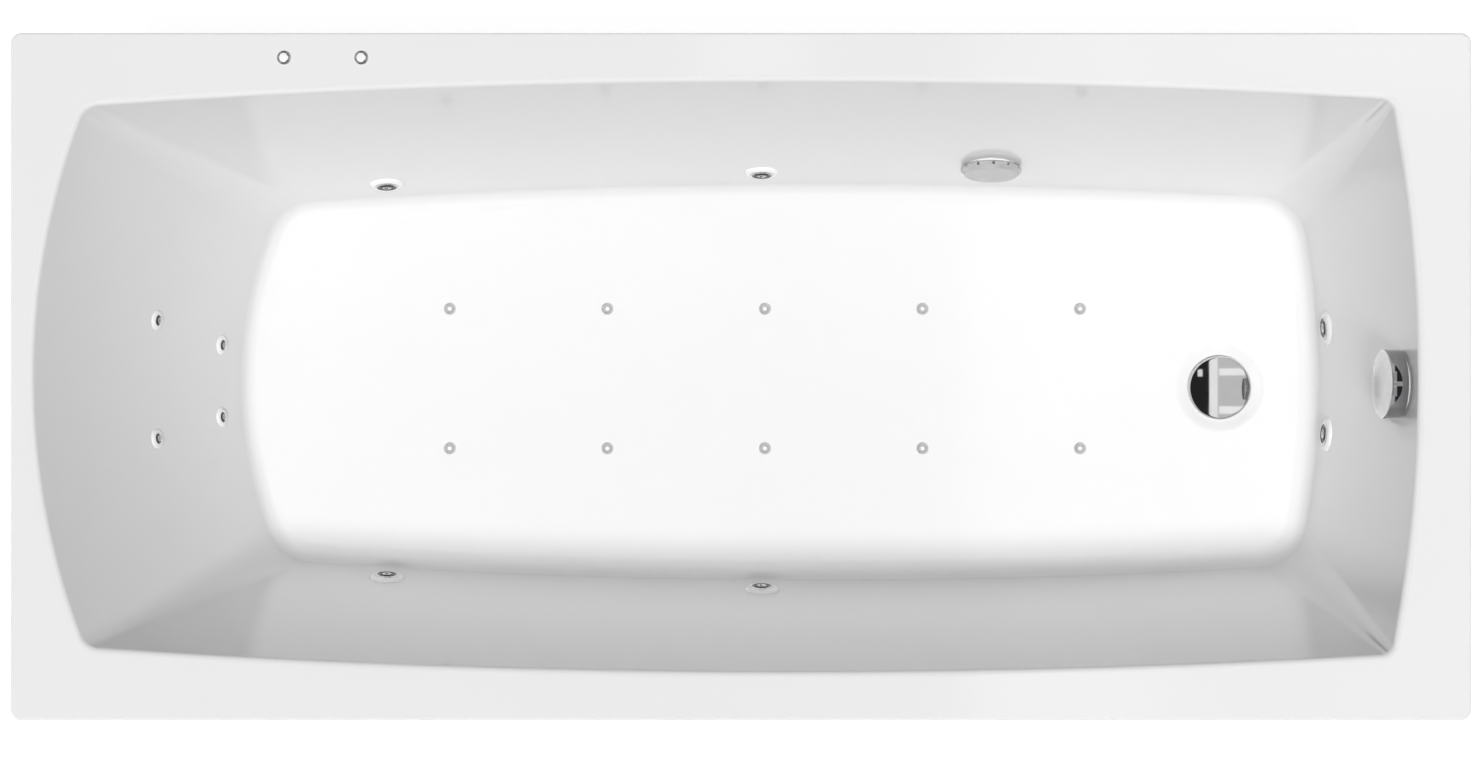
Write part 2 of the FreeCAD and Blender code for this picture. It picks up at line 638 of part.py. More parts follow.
SIDE_JETS = [WallSpot(side, station, size("side_jet_height")) for side in ("far", "near")
             for station in (HEAD_END + size("side_jet_inset"), size("side_jet_middle"))]
FOOT_JETS = [WallSpot("foot", side * size("foot_jet_y"), size("foot_jet_height")) for side in (1, -1)]
JETS = SIDE_JETS + FOOT_JETS
BACK_JETS = [WallSpot("head", side * size(f"micro_{row}_y"), size(f"micro_{row}_height"))
             for row in ("upper", "lower") for side in (1, -1)]
SUCTION = WallSpot("far", FOOT_END - size("suction_inset"), size("suction_height"))
OVERFLOW = WallSpot("foot", size("waste_y"), size("overflow_height"))


# ------------------------------------------------------------------------- the bath

def seat_cutter(name, spot, hole, flange, nut):
    """The hole for a wall fitting, with a flat on each side of the wall."""
    behind = spot.back_depth()
    return turned(name, [
        ("0", -4 * size("wall")), (nut, -4 * size("wall")), (nut, -behind), (hole, -behind),
        (hole, "-Size.seat_depth"), (flange, "-Size.seat_depth"), (flange, "4 * Size.wall"),
        ("0", "4 * Size.wall")], spot.front())


def rim_blank():
    """The flat rim with its turned down lip."""
    length, width = size("bath_length"), size("bath_width")
    wall, corner = size("wall"), size("rim_corner")

    def plate(inset, low, high, radius):
        solid = Part.makeBox(length - 2 * inset, width - 2 * inset, high - low,
                             Vector(inset - length / 2, inset - width / 2, low))
        return solid.makeFillet(radius, [line for line in solid.Edges if abs(line.tangentAt(0).z) > 0.9])

    outer = plate(0, RIM_UNDER - size("lip_depth"), RIM_TOP, corner)
    inner = plate(wall, RIM_UNDER - 2 * size("lip_depth"), RIM_UNDER, corner - wall)
    top = [line for line in outer.Edges if line.BoundBox.ZMin > RIM_TOP - 1e-3]
    return outer.makeFillet(size("rim_edge"), top).cut(inner)


def bath_blank():
    """Rim and basin in one skin, before its holes."""
    wall = size("wall")
    skin = basin_solid(FLOOR_UNDER, RIM_UNDER + wall / 2, wall, size("floor_fillet") + wall)
    pad = Part.makeCylinder(size("recess") / 2 + wall, wall, Vector(
        WASTE_X, size("waste_y"), FLOOR_UNDER - wall))
    water = basin_solid(FLOOR_TOP, RIM_TOP + 2 * wall, 0, size("floor_fillet"))
    shell = rim_blank().fuse([skin, pad]).cut(water)
    mouth = [line for line in shell.Edges
             if line.BoundBox.ZMin > RIM_TOP - 1e-3 and abs(line.CenterOfMass.x) < inside_rim(line)]
    return shell.makeFillet(size("opening_edge"), mouth)


def inside_rim(line):
    """How far out an edge of the basin's mouth can lie, against the rim's outer edge."""
    clear = size("bath_length") / 2 - 1.5 * size("rim_edge")
    return clear if abs(line.CenterOfMass.y) < size("bath_width") / 2 - 1.5 * size("rim_edge") else -1


def bath_shell():
    blank = doc.addObject("Part::Feature", "bath_blank")
    blank.Shape = bath_blank()
    blank.Placement = Placement()
    tools = []
    for spot in JETS:
        tools.append(seat_cutter("jet_hole", spot, "Size.jet_neck / 2 + Size.gap",
                                 "Size.jet_flange / 2 + Size.gap", "Size.jet_nut / 2 + Size.gap"))
    for spot in BACK_JETS:
        tools.append(seat_cutter("micro_hole", spot, "Size.micro_neck / 2 + Size.gap",
                                 "Size.micro_flange / 2 + Size.gap", "Size.micro_body / 2 + Size.gap"))
    tools.append(seat_cutter("suction_hole", SUCTION, "Size.suction_neck / 2 + Size.gap",
                             "Size.suction_flange / 2 + Size.gap", "Size.suction_body / 2 + Size.gap"))
    tools.append(seat_cutter("overflow_hole", OVERFLOW, "Size.overflow_neck / 2 + Size.gap",
                             "Size.overflow_flange / 2 + Size.gap", "Size.overflow_body / 2 + Size.gap"))
    for x in AIR_STATIONS:
        for y in AIR_ROWS:
            tools.append(cylinder("air_hole", "Size.air_stem / 2 + Size.gap", "3 * Size.wall",
                                  at(x, y, FLOOR_UNDER - size("wall"))))
    for x in BUTTON_STATIONS:
        tools.append(cylinder("button_hole", "Size.button / 2 + 1.2 + Size.gap", "3 * Size.wall",
                              at(x, BUTTON_Y, RIM_UNDER - size("wall"))))
    tools.append(turned("waste_hole", [
        ("0", "-4 * Size.wall"), ("Size.waste_neck / 2 + Size.gap", "-4 * Size.wall"),
        ("Size.waste_neck / 2 + Size.gap", "-Size.recess_depth"),
        ("Size.recess_floor / 2", "-Size.recess_depth"), ("Size.recess / 2", "0"),
        ("Size.recess / 2", "Size.wall"), ("0", "Size.wall")],
        at(WASTE_X, size("waste_y"), FLOOR_TOP)))
    return cut("bath_shell_cut", blank, *tools)


# ------------------------------------------------------------------------ the frame

def bolt_stations():
    """Bolts of (x, y, underside of the head): through a rail, or through a bearer alone."""
    rail, foot = RAIL_Y, FOOT_BEARER
    through_rails = [(x, side * rail, RAIL_UNDER)
                     for x in BEARER_STATIONS[:2] for side in (1, -1)]
    return through_rails + [(foot, side * rail, BEARER_UNDER) for side in (1, -1)]


def tray_bolt_stations():
    """Bolts that hold the tray down on its rails."""
    return [(RAIL_HEAD + size("beam"), side * RAIL_Y) for side in (1, -1)]


def bolt_holes(name):
    """Clearance for the frame's bolts."""
    return [cylinder(name, "Size.bolt / 2 + 0.1", RIM_TOP / 4, at(x, y, RAIL_UNDER - size("wall")))
            for x, y, _ in bolt_stations()]


def base_board():
    half = FLOOR_SIDE - size("board_side")
    board = block("board_blank", (HEAD_END + size("board_head_inset"), -half, BOARD_UNDER),
                  (FOOT_END - size("board_foot_inset"), half, FLOOR_UNDER))
    holes = [cylinder("board_air_hole", "Size.air_body / 2 + 2", "3 * Size.board_thickness",
                      at(x, y, BOARD_UNDER - size("board_thickness")))
             for x in AIR_STATIONS for y in AIR_ROWS]
    return cut("base_board_cut", board, *holes, *bolt_holes("board_bolt_hole"))


def cross_bearers():
    half, reach, wall = size("beam") / 2, BEARER_REACH, size("beam_wall")
    bearers = []
    for x in BEARER_STATIONS:
        tube = tube_beam("bearer_tube", Vector(x - half, -reach, BEARER_UNDER),
                         Vector(x + half, reach, BOARD_UNDER), wall, 1)
        holes = [cylinder("leg_hole", "Size.leg_stud / 2 + 0.5", "2 * Size.beam",
                          at(x, side * LEG_Y, RAIL_UNDER)) for side in (1, -1)]
        holes += [hole for hole in bolt_holes("bearer_bolt_hole")
                  if abs(hole.Placement.Base.x - x) < half]
        bearers.append(cut("bearer", tube, *holes))
    return group("cross_bearers_group", bearers)


def tray_rails():
    half, rails = size("beam") / 2, []
    for side in (1, -1):
        y = side * RAIL_Y
        tube = tube_beam("rail_tube", Vector(RAIL_HEAD, y - half, RAIL_UNDER),
                         Vector(MIDDLE_BEARER + size("rail_overhang"), y + half, BEARER_UNDER), size("beam_wall"), 0)
        holes = [hole for hole in bolt_holes("rail_bolt_hole") if hole.Placement.Base.y * side > 0]
        holes.append(cylinder("tray_bolt_hole", "Size.bolt / 2 + 0.1", "2 * Size.beam",
                              at(tray_bolt_stations()[0][0], y, RAIL_UNDER - half)))
        rails.append(cut("rail", tube, *holes))
    return group("tray_rails_group", rails)


def equipment_tray():
    head, foot = RAIL_HEAD, RAIL_HEAD + size("tray_reach")
    near, far = size("tray_inset") - SIDE_END, RAIL_Y + size("tray_overhang")
    edge = head + size("tray_thickness")
    sheet_metal = fuse("tray_blank",
                       block("tray_sheet", (head, near, BEARER_UNDER), (foot, far, TRAY_TOP)),
                       block("tray_edge", (head, near, BEARER_UNDER),
                             (edge, far, BEARER_UNDER + size("tray_flange"))))
    holes = [cylinder("tray_hole", "Size.bolt / 2 + 0.1", "4 * Size.tray_thickness",
                      at(x, y, BEARER_UNDER - size("tray_thickness")))
             for x, y in tray_bolt_stations()]
    return cut("equipment_tray_cut", sheet_metal, *holes)


def rim_posts():
    half = size("post") / 2
    posts = [tube_beam("post_tube", Vector(x - half, side * POST_Y - half, BOARD_UNDER),
                       Vector(x + half, side * POST_Y + half, RIM_UNDER), size("beam_wall"), 2)
             for x in (BEARER_STATIONS[0], BEARER_STATIONS[2]) for side in (1, -1)]
    return group("rim_posts_group", posts)


def bolt_solid(head_place, length):
    """A hexagon bolt whose shank runs up its placement's +Z from under its head."""
    head = hexagon("bolt_head", "Size.bolt_head", "Size.bolt_head_thickness",
                   head_place.multiply(at(0, 0, -size("bolt_head_thickness"))))
    return fuse("bolt", head, cylinder("bolt_shank", "Size.bolt / 2", length, head_place))


def frame_bolts():
    top = BOARD_UNDER + 0.7 * size("board_thickness")
    bolts = [bolt_solid(at(x, y, under), top - under) for x, y, under in bolt_stations()]
    down = Rotation(X_AXIS, 180)
    bolts += [bolt_solid(Placement(Vector(x, y, TRAY_TOP), down), 0.9 * size("beam"))
              for x, y in tray_bolt_stations()]
    return group("frame_bolts_group", bolts)


def leg_stations():
    return [(x, side * LEG_Y) for x in (BEARER_STATIONS[0], BEARER_STATIONS[2]) for side in (1, -1)]


def levelling_leg(name, x, y):
    return turned(name, [
        ("0", "0"), ("Size.leg_pad / 2 - 1", "0"), ("Size.leg_pad / 2", "1"),
        ("Size.leg_pad / 2", "Size.leg_pad_thickness"), ("Size.leg_stud", "Size.leg_pad_thickness + 5"),
        ("Size.leg_stud", "3 * Size.leg_pad_thickness"), ("Size.leg_stud / 2", "3 * Size.leg_pad_thickness"),
        ("Size.leg_stud / 2", LEG_TOP - 1), ("Size.leg_stud / 2 - 1", LEG_TOP), ("0", LEG_TOP)], at(x, y, 0))


def nut_solid(name, across, bore, thickness, place):
    """A hexagon nut that stands on its placement."""
    return cut(name, hexagon(name + "_blank", across, thickness, place),
               cylinder(name + "_bore", bore, "3 * " + thickness, place.multiply(at(0, 0, -number(thickness)))))


def leg_nuts():
    nuts = []
    for x, y in leg_stations():
        for level in (BEARER_UNDER - size("leg_nut_thickness"), BOARD_UNDER):
            nuts.append(nut_solid("leg_nut", "Size.leg_nut", "Size.leg_stud / 2 + Size.gap",
                                  "Size.leg_nut_thickness", at(x, y, level)))
    return group("leg_nuts_group", nuts)


# ---------------------------------------------------------------- turning water jets

def jet_flange(spot):
    socket = "Size.jet_ring / 2 + Size.gap"
    neck_bore = "Size.jet_ring / 2 - 1.5"
    return turned("jet_flange", [
        (neck_bore, "-Size.jet_neck_length"), ("Size.jet_neck / 2", "-Size.jet_neck_length"),
        ("Size.jet_neck / 2", "-Size.seat_depth"), ("Size.jet_flange / 2", "-Size.seat_depth"),
        ("Size.jet_flange / 2", "Size.jet_flange_edge", "3 * Size.jet_flange_rise"),
        (socket + " + 1.2", "Size.jet_flange_rise"), (socket, "Size.jet_flange_rise - 0.6"),
        (socket, "-Size.jet_ring_depth - Size.gap"), (neck_bore, "-Size.jet_ring_depth - Size.gap")],
        spot.front())


def jet_nut(spot):
    return nut_solid("jet_nut", "Size.jet_nut", "Size.jet_neck / 2", "Size.jet_nut_thickness",
                     spot.back().multiply(at(0, 0, -size("jet_nut_thickness"))))


def jet_port(spot):
    """The middle of a jet's body, where its pipe socket meets its axis."""
    return spot.behind(0.6 * size("jet_body_depth"))


def jet_pipe_target(spot):
    """Where a jet's pipe meets the pressure pipe."""
    port = jet_port(spot)
    if spot in FOOT_JETS:
        return Vector(MAIN_X, port.y, MAIN_Z)
    return Vector(port.x, math.copysign(MAIN_Y, port.y), MAIN_Z)


def stub_end(spot):
    """The end of a jet's pipe socket."""
    way = (jet_pipe_target(spot) - jet_port(spot)).normalize()
    return jet_port(spot) + way * size("jet_stub_length")


def jet_body(spot):
    """A cup on the neck's end, with a socket towards the pressure pipe."""
    nut, depth = size("jet_nut_thickness"), size("jet_body_depth")
    cup = turned("jet_cup", [
        ("0", "-Size.jet_body_depth"), ("Size.jet_body / 2 - 3", "-Size.jet_body_depth", 4.0),
        ("Size.jet_body / 2", "3 - Size.jet_body_depth"), ("Size.jet_body / 2", "-Size.jet_nut_thickness"),
        ("0", "-Size.jet_nut_thickness")], spot.back())
    socket = rod("jet_socket", "Size.jet_stub / 2", jet_port(spot), stub_end(spot))
    hollow = cylinder("jet_hollow", "Size.jet_neck / 2", depth - nut, spot.back().multiply(
        at(0, 0, size("jet_body_wall") - depth)))
    way = stub_end(spot) - jet_port(spot)
    bore = rod("jet_socket_bore", "Size.jet_stub_bore / 2", jet_port(spot), stub_end(spot) + way)
    return cut("jet_body", fuse("jet_body_blank", cup, socket), hollow, bore)


def jet_ring(name, spot):
    """A chrome ring that turns in the flange and holds the ball."""
    seat = "(Size.jet_ball / 2 + Size.gap)"
    waist = f"sqrt({seat}^2 - (Size.jet_ring_depth - 1.7)^2)"
    mouth = f"sqrt({seat}^2 - (Size.jet_ring_rise - 1.6)^2)"
    outside = "Size.jet_ring / 2"
    return turned(name, [
        (waist, "-Size.jet_ring_depth"), (outside, "-Size.jet_ring_depth"),
        (outside, "Size.jet_ring_rise - 1.6", 1.7), (outside + " - 1.6", "Size.jet_ring_rise"),
        (outside + " - 3.4", "Size.jet_ring_rise"), (mouth, "Size.jet_ring_rise - 1.6", "-" + seat),
        (waist, "1.7 - Size.jet_ring_depth")], spot.front())


def jet_nozzle(name, spot):
    """The ball that tilts in the ring, bored through and flared towards the basin."""
    ball, flat = "Size.jet_ball / 2", "Size.jet_ball_flat"
    shoulder = f"sqrt(({ball})^2 - {flat}^2)"
    return turned(name, [
        ("Size.jet_bore / 2", "-" + flat), (shoulder, "-" + flat, ball), (shoulder, flat),
        ("Size.jet_bore / 2 + 1.5", flat), ("Size.jet_bore / 2", flat + " - 3")], spot.front())


# ------------------------------------------------------------------------ back jets

def micro_flange(spot):
    socket = "Size.micro_nozzle / 2"
    return turned("micro_flange", [
        ("Size.micro_bore / 2 + 1", "-Size.micro_neck_length"),
        ("Size.micro_neck / 2", "-Size.micro_neck_length"), ("Size.micro_neck / 2", "-Size.seat_depth"),
        ("Size.micro_flange / 2", "-Size.seat_depth"), ("Size.micro_flange / 2", "0.8", 9.0),
        (socket + " + 0.8", "2.8"), (socket, "2.4"), (socket, "-4"), ("Size.micro_bore / 2 + 1", "-4")],
        spot.front())


def micro_nozzle(spot):
    """A domed chrome nozzle pressed into its flange."""
    radius = "Size.micro_nozzle / 2"
    return turned("micro_nozzle", [
        ("Size.micro_bore / 2", "-4"), (radius, "-4"), (radius, "1.6", "1.2 * Size.micro_nozzle"),
        ("Size.micro_bore / 2 + 0.8", "3.8"), ("Size.micro_bore / 2", "3")], spot.front())


def micro_port(spot):
    return spot.behind(0.5 * size("micro_body_depth"))


def micro_target(spot):
    """Where a back jet's hose meets the pressure pipe."""
    return Vector(PUMP_X, micro_port(spot).y, MAIN_Z)


def micro_stub_end(spot):
    way = (micro_target(spot) - micro_port(spot)).normalize()
    return micro_port(spot) + way * size("micro_stub_length")


def micro_body(spot):
    depth = size("micro_body_depth")
    cup = cylinder("micro_cup", "Size.micro_body / 2", "Size.micro_body_depth",
                   spot.back().multiply(at(0, 0, -depth)))
    stub = rod("micro_stub", "Size.micro_stub / 2", micro_port(spot), micro_stub_end(spot))
    hollow = cylinder("micro_hollow", "Size.micro_neck / 2", "Size.micro_body_depth",
                      spot.back().multiply(at(0, 0, 3 - depth)))
    bore = rod("micro_stub_bore", "Size.micro_stub / 2 - 2.5", micro_port(spot),
               micro_stub_end(spot) * 2 - micro_port(spot))
    return cut("micro_body", fuse("micro_body_blank", cup, stub), hollow, bore)


# ------------------------------------------------------------------------- air jets

def air_cap(x, y):
    """A flat collar on the floor with a small raised dome, on a hollow stem."""
    return turned("air_cap", [
        ("Size.air_bore / 2", "-Size.air_stem_length"), ("Size.air_stem / 2", "-Size.air_stem_length"),
        ("Size.air_stem / 2", "0"), ("Size.air_flange / 2", "0"), ("Size.air_flange / 2", "0.5", 0.7),
        ("Size.air_flange / 2 - 0.6", "1"), ("Size.air_flange / 3", "1.1"),
        ("Size.air_flange / 3", "1.3", 3.4), ("Size.air_bore / 2 + 0.5", "Size.air_cap_rise"),
        ("Size.air_bore / 2", "Size.air_cap_rise - 0.4")], at(x, y, FLOOR_TOP))


def air_body(x, y, pipe):
    """The socket under the floor that joins an air jet to its pipe."""
    depth = FLOOR_UNDER - AIR_PIPE_Z
    solid = turned("air_socket", [
        ("Size.air_bore / 2 + 0.5", -depth), ("Size.air_body / 2", -depth), ("Size.air_body / 2", "0"),
        ("Size.air_stem / 2", "0"), ("Size.air_stem / 2", "Size.wall - Size.air_stem_length"),
        ("Size.air_bore / 2 + 0.5", "Size.wall - Size.air_stem_length")], at(x, y, FLOOR_UNDER))
    return cut("air_body", solid, pipe)


# -------------------------------------------------------------------------- suction

def suction_cover():
    """A domed cover that water enters from its edge, through slots."""
    rim, rise = "Size.suction_cover / 2", "Size.suction_rise"
    dome = turned("suction_dome", [
        ("0", "3.2"), (rim + " - 8", "3.2"), (rim + " - 2", "4.4"), (rim, "4.4"), (rim, "6.4", 2.4),
        (rim + " - 1.6", "8.4"), (rim + " - 5", rise + " - 1.6", "4 * Size.suction_cover / 3"), ("1", rise),
        ("0", rise)],
        SUCTION.front())
    hub = cylinder("suction_hub", 7.0, "13 + 5", SUCTION.front(13.0))
    slots = []
    for index in range(round(size("suction_slots"))):
        turn = Placement(Vector(), Rotation(Z_AXIS, index * 360 / round(size("suction_slots"))))
        slot = block("suction_slot", (0, 0, 0), (14, 3.2, 3.4))
        slot.Placement = SUCTION.front().multiply(turn).multiply(
            at(size("suction_cover") / 2 - 9, -1.6, 4.8))
        slots.append(slot)
    return cut("suction_cover_cut", fuse("suction_cover_blank", dome, hub), *slots)


def suction_flange():
    """The flange under the cover, with a spider for the cover's hub."""
    neck, depth = "Size.suction_neck / 2", 22.0
    ring = turned("suction_ring", [
        (neck + " - 3", -depth), (neck, -depth), (neck, "-Size.seat_depth"),
        ("Size.suction_flange / 2", "-Size.seat_depth"), ("Size.suction_flange / 2", "2"),
        ("Size.suction_flange / 2 - 1", "3"), (neck + " - 3", "3")], SUCTION.front())
    arms = []
    for degrees in (0, 60, 120):
        arm = block("suction_arm", (0, 0, 0), (size("suction_neck") - 4, 3, 6))
        arm.Placement = SUCTION.front().multiply(Placement(Vector(0, 0, -14), Rotation(Z_AXIS, degrees))) \
            .multiply(at(2 - size("suction_neck") / 2, -1.5, 0))
        arms.append(arm)
    boss = cylinder("suction_boss", 10.0, 10.0, SUCTION.front(18.0))
    hole = cylinder("suction_boss_hole", 7.0, 30.0, SUCTION.front(13.0))
    return cut("suction_flange_cut", fuse("suction_flange_blank", ring, boss, *arms), hole)


def suction_port():
    return SUCTION.behind(0.55 * size("suction_body_depth"))


def suction_stub_end():
    return suction_port() - Z_AXIS * (size("suction_body") / 2 + 16)


def suction_body():
    depth = size("suction_body_depth")
    cup = turned("suction_cup", [
        ("0", -depth), ("Size.suction_body / 2 - 5", -depth, 6.0), ("Size.suction_body / 2", 5 - depth),
        ("Size.suction_body / 2", "0"), ("0", "0")], SUCTION.back())
    stub = rod("suction_stub", "Size.suction_pipe / 2 + 4", suction_port(), suction_stub_end())
    hollow = cylinder("suction_hollow", "Size.suction_neck / 2", depth,
                      SUCTION.back().multiply(at(0, 0, 4 - depth)))
    bore = rod("suction_stub_bore", "Size.suction_pipe_bore / 2", suction_port(),
               suction_stub_end() - Z_AXIS * size("suction_pipe"))
    return cut("suction_body_cut", fuse("suction_body_blank", cup, stub), hollow, bore)


def suction_pipe():
    end, z, x = suction_stub_end(), SUCTION_PIPE_Z, PUMP_X
    path = bent_path([(x, INLET_END_Y, PUMP_Z), (x, INLET_END_Y + size("inlet_length"), PUMP_Z),
                      (x, end.y, z), (end.x, end.y, z), end], size("pipe_bend"))
    return group("suction_pipe_group", pipe_spans(
        "suction_span", path, "Size.suction_pipe / 2", "Size.suction_pipe_bore / 2"))


# ---------------------------------------------------------------- waste and overflow

def spider(name, place, outer, boss, bore, depth):
    """Three arms that hold a bush in a round bore."""
    arms = []
    for degrees in (30, 150, 270):
        arm = block(name + "_arm", (0, 0, 0), (outer, 3, depth))
        arm.Placement = place.multiply(Placement(Vector(), Rotation(Z_AXIS, degrees))).multiply(at(0, -1.5, 0))
        arms.append(arm)
    solid = fuse(name + "_blank", cylinder(name + "_boss", boss, depth, place), *arms)
    return cut(name, solid, cylinder(name + "_bore", bore, 3 * depth, place.multiply(at(0, 0, -depth))))


def waste_flange():
    """The waste's flange and threaded neck, with the plug's guide."""
    place = at(WASTE_X, size("waste_y"), FLOOR_TOP - size("recess_depth"))
    flange = turned("waste_ring", [
        ("Size.waste_neck_bore / 2", "-Size.waste_neck_length"),
        ("Size.waste_neck / 2", "-Size.waste_neck_length"), ("Size.waste_neck / 2", "0"),
        ("Size.waste_flange / 2", "0"), ("Size.waste_flange / 2 - 1", "Size.waste_flange_thickness"),
        ("Size.waste_neck_bore / 2", "Size.waste_flange_thickness")], place)
    guide = spider("waste_guide", place.multiply(at(0, 0, -12.0)), size("waste_neck_bore") / 2 + 1,
                   "Size.plug_stem / 2 + 3", "Size.plug_stem / 2 + Size.gap", 8.0)
    return fuse("waste_flange_fuse", flange, guide)


def waste_plug():
    """The polished dome, on a stem that its guide holds."""
    radius, rise = "Size.plug / 2", "Size.plug_rise"
    crown = "(((Size.plug / 2 - 1)^2 + (Size.plug_rise - 2)^2) / (2 * (Size.plug_rise - 2)))"
    level = FLOOR_TOP - size("recess_depth") + size("waste_flange_thickness") + size("gap")
    return turned("waste_plug_body", [
        ("0", "-46"), ("Size.plug_stem / 2", "-46"), ("Size.plug_stem / 2", "0"),
        (radius + " - 1", "0"), (radius, "1"), (radius, "1.4"), (radius + " - 1", "2", crown), ("0", rise)],
        at(WASTE_X, size("waste_y"), level))


def waste_body():
    """The cup under the waste, with a hose stub, a cable gland and a threaded end."""
    x, y, under = WASTE_X, size("waste_y"), FLOOR_UNDER - size("wall")
    bottom, level = WASTE_BODY_END, HOSE_Z
    neck_end = FLOOR_TOP - size("recess_depth") - size("waste_neck_length")
    cup = turned("waste_cup", [
        ("Size.waste_neck_bore / 2", "0"), ("Size.waste_body / 2", "0"), ("Size.waste_body / 2", under - 4 - bottom),
        ("Size.waste_body / 2 + 4", under - 4 - bottom), ("Size.waste_body / 2 + 4", under - bottom),
        ("Size.waste_neck / 2", under - bottom), ("Size.waste_neck / 2", neck_end - bottom),
        ("Size.waste_neck_bore / 2", neck_end - bottom)], at(x, y, bottom))
    wide = size("waste_body") / 2
    stub = rod("waste_stub", "Size.overflow_hose / 2 + 1", (x + wide - 4, y, level), (x + wide + 18, y, level))
    bore = rod("waste_stub_bore", "Size.overflow_hose_bore / 2", (x + wide - 10, y, level), (x + wide + 28, y, level))
    gland_y = cable_y()
    gland = rod("cable_gland", "Size.cable / 2 + 2.5", (x + 4, gland_y, level), (x + wide + 14, gland_y, level))
    inside = cylinder("gland_limit", "Size.waste_body / 2 - 1", RIM_TOP / 2, at(x, y, 0))
    solid = fuse("waste_body_blank", cup, stub, cut("gland_outside", gland, inside))
    return cut("waste_body_cut", solid, bore)


def cable_y():
    return size("waste_y") - size("overflow_hose") / 2 - size("cable") / 2 - 6.0


def trap_body():
    """A shallow bottle trap under the waste, with its outlet towards the foot end."""
    x, y, bottom = WASTE_X, size("waste_y"), TRAP_UNDER
    top = WASTE_BODY_END
    outlet = OUTLET_Z
    bowl = turned("trap_bowl", [
        ("0", "0"), ("Size.trap / 2 - 6", "0", 7.0), ("Size.trap / 2", "6"), ("Size.trap / 2", top - bottom - 20),
        ("Size.waste_body / 2", top - bottom - 12), ("Size.waste_body / 2", top - bottom), ("0", top - bottom)],
        at(x, y, bottom))
    neck_end = x + size("trap") / 2 + 4 + size("trap_nut_length")
    neck = rod("trap_neck", "Size.trap_outlet_neck / 2", (x, y, outlet), (neck_end, y, outlet))
    pipe = rod("trap_pipe", "Size.trap_outlet / 2", (neck_end, y, outlet),
               (x + size("trap_outlet_reach"), y, outlet))
    hollow = cylinder("trap_hollow", "Size.waste_neck_bore / 2", top - bottom, at(x, y, bottom + 4))
    bore = rod("trap_bore", "Size.trap_outlet_bore / 2", (x, y, outlet),
               (x + 2 * size("trap_outlet_reach"), y, outlet))
    return cut("trap_body_cut", fuse("trap_blank", bowl, neck, pipe), hollow, bore)


def trap_nuts():
    """The union nuts on the trap's inlet and outlet."""
    x, y, top = WASTE_X, size("waste_y"), WASTE_BODY_END
    inlet = turned("trap_inlet_nut", [
        ("Size.waste_body / 2", "-10"), ("Size.waste_body / 2 + 7", "-10"), ("Size.waste_body / 2 + 7", "5"),
        ("Size.waste_body / 2 + 5", "7"), ("Size.waste_body / 2", "7")], at(x, y, top))
    outlet = turned("trap_outlet_nut", [
        ("Size.trap_outlet_neck / 2", "0"), ("Size.trap_outlet / 2 + 6", "0"),
        ("Size.trap_outlet / 2 + 6", "Size.trap_nut_length - 4"),
        ("Size.trap_outlet / 2 + 4", "Size.trap_nut_length"),
        ("Size.trap_outlet_neck / 2", "Size.trap_nut_length")],
        along((x + size("trap") / 2 + 4, y, OUTLET_Z), X_AXIS))
    return group("trap_nuts_group", [inlet, outlet])


def overflow_knob():
    """The round knob on the foot wall, a hollow cap on a shaft through the overflow."""
    radius, face, wall = "Size.knob / 2", "Size.knob_rise", "Size.knob_wall"
    return turned("overflow_knob_body", [
        ("0", "-Size.knob_shaft_length"), ("Size.knob_shaft / 2", "-Size.knob_shaft_length"),
        ("Size.knob_shaft / 2", f"{face} - {wall}"), (f"{radius} - {wall}", f"{face} - {wall}"),
        (f"{radius} - {wall}", "Size.knob_stand"), (radius + " - 1", "Size.knob_stand"),
        (radius, "Size.knob_stand + 1"), (radius, face + " - 2", 2.1), (radius + " - 2", face), ("0", face)],
        OVERFLOW.front())


def overflow_flange():
    """The flange and neck behind the knob, with the shaft's bush."""
    neck, depth = "Size.overflow_neck / 2", 24.0
    ring = turned("overflow_ring", [
        (neck + " - 3", -depth), (neck, -depth), (neck, "-Size.seat_depth"),
        ("Size.overflow_flange / 2", "-Size.seat_depth"), ("Size.overflow_flange / 2", "1"),
        ("Size.overflow_flange / 2 - 1", "2"), (neck + " - 3", "2")], OVERFLOW.front())
    bush = spider("overflow_bush", OVERFLOW.front(20.0), size("overflow_neck") / 2 - 1,
                  "Size.knob_shaft / 2 + 3", "Size.knob_shaft / 2 + Size.gap", 14.0)
    return fuse("overflow_flange_fuse", ring, bush)


def overflow_port():
    return OVERFLOW.behind(0.62 * size("overflow_body_depth"))


def overflow_stub_end():
    return overflow_port() - Z_AXIS * (size("overflow_body") / 2 + 12)


def cable_top():
    """Where the lift cable leaves the overflow's body."""
    return Vector(overflow_port().x, cable_y(), overflow_stub_end().z)


def overflow_body():
    depth = size("overflow_body_depth")
    cup = turned("overflow_cup", [
        ("0", -depth), ("Size.overflow_body / 2 - 5", -depth, 6.0), ("Size.overflow_body / 2", 5 - depth),
        ("Size.overflow_body / 2", "0"), ("0", "0")], OVERFLOW.back())
    stub = rod("overflow_stub", "Size.overflow_hose / 2 + 1", overflow_port(), overflow_stub_end())
    gland = rod("cable_stop", "Size.cable / 2 + 2.5", cable_top() + Z_AXIS * size("overflow_body") / 2, cable_top())
    hollow = cylinder("overflow_hollow", "Size.overflow_neck / 2", depth,
                      OVERFLOW.back().multiply(at(0, 0, 4 - depth)))
    bore = rod("overflow_bore", "Size.overflow_hose_bore / 2", overflow_port(),
               overflow_stub_end() - Z_AXIS * size("overflow_hose"))
    return cut("overflow_body_cut", fuse("overflow_body_blank", cup, stub, gland), hollow, bore)


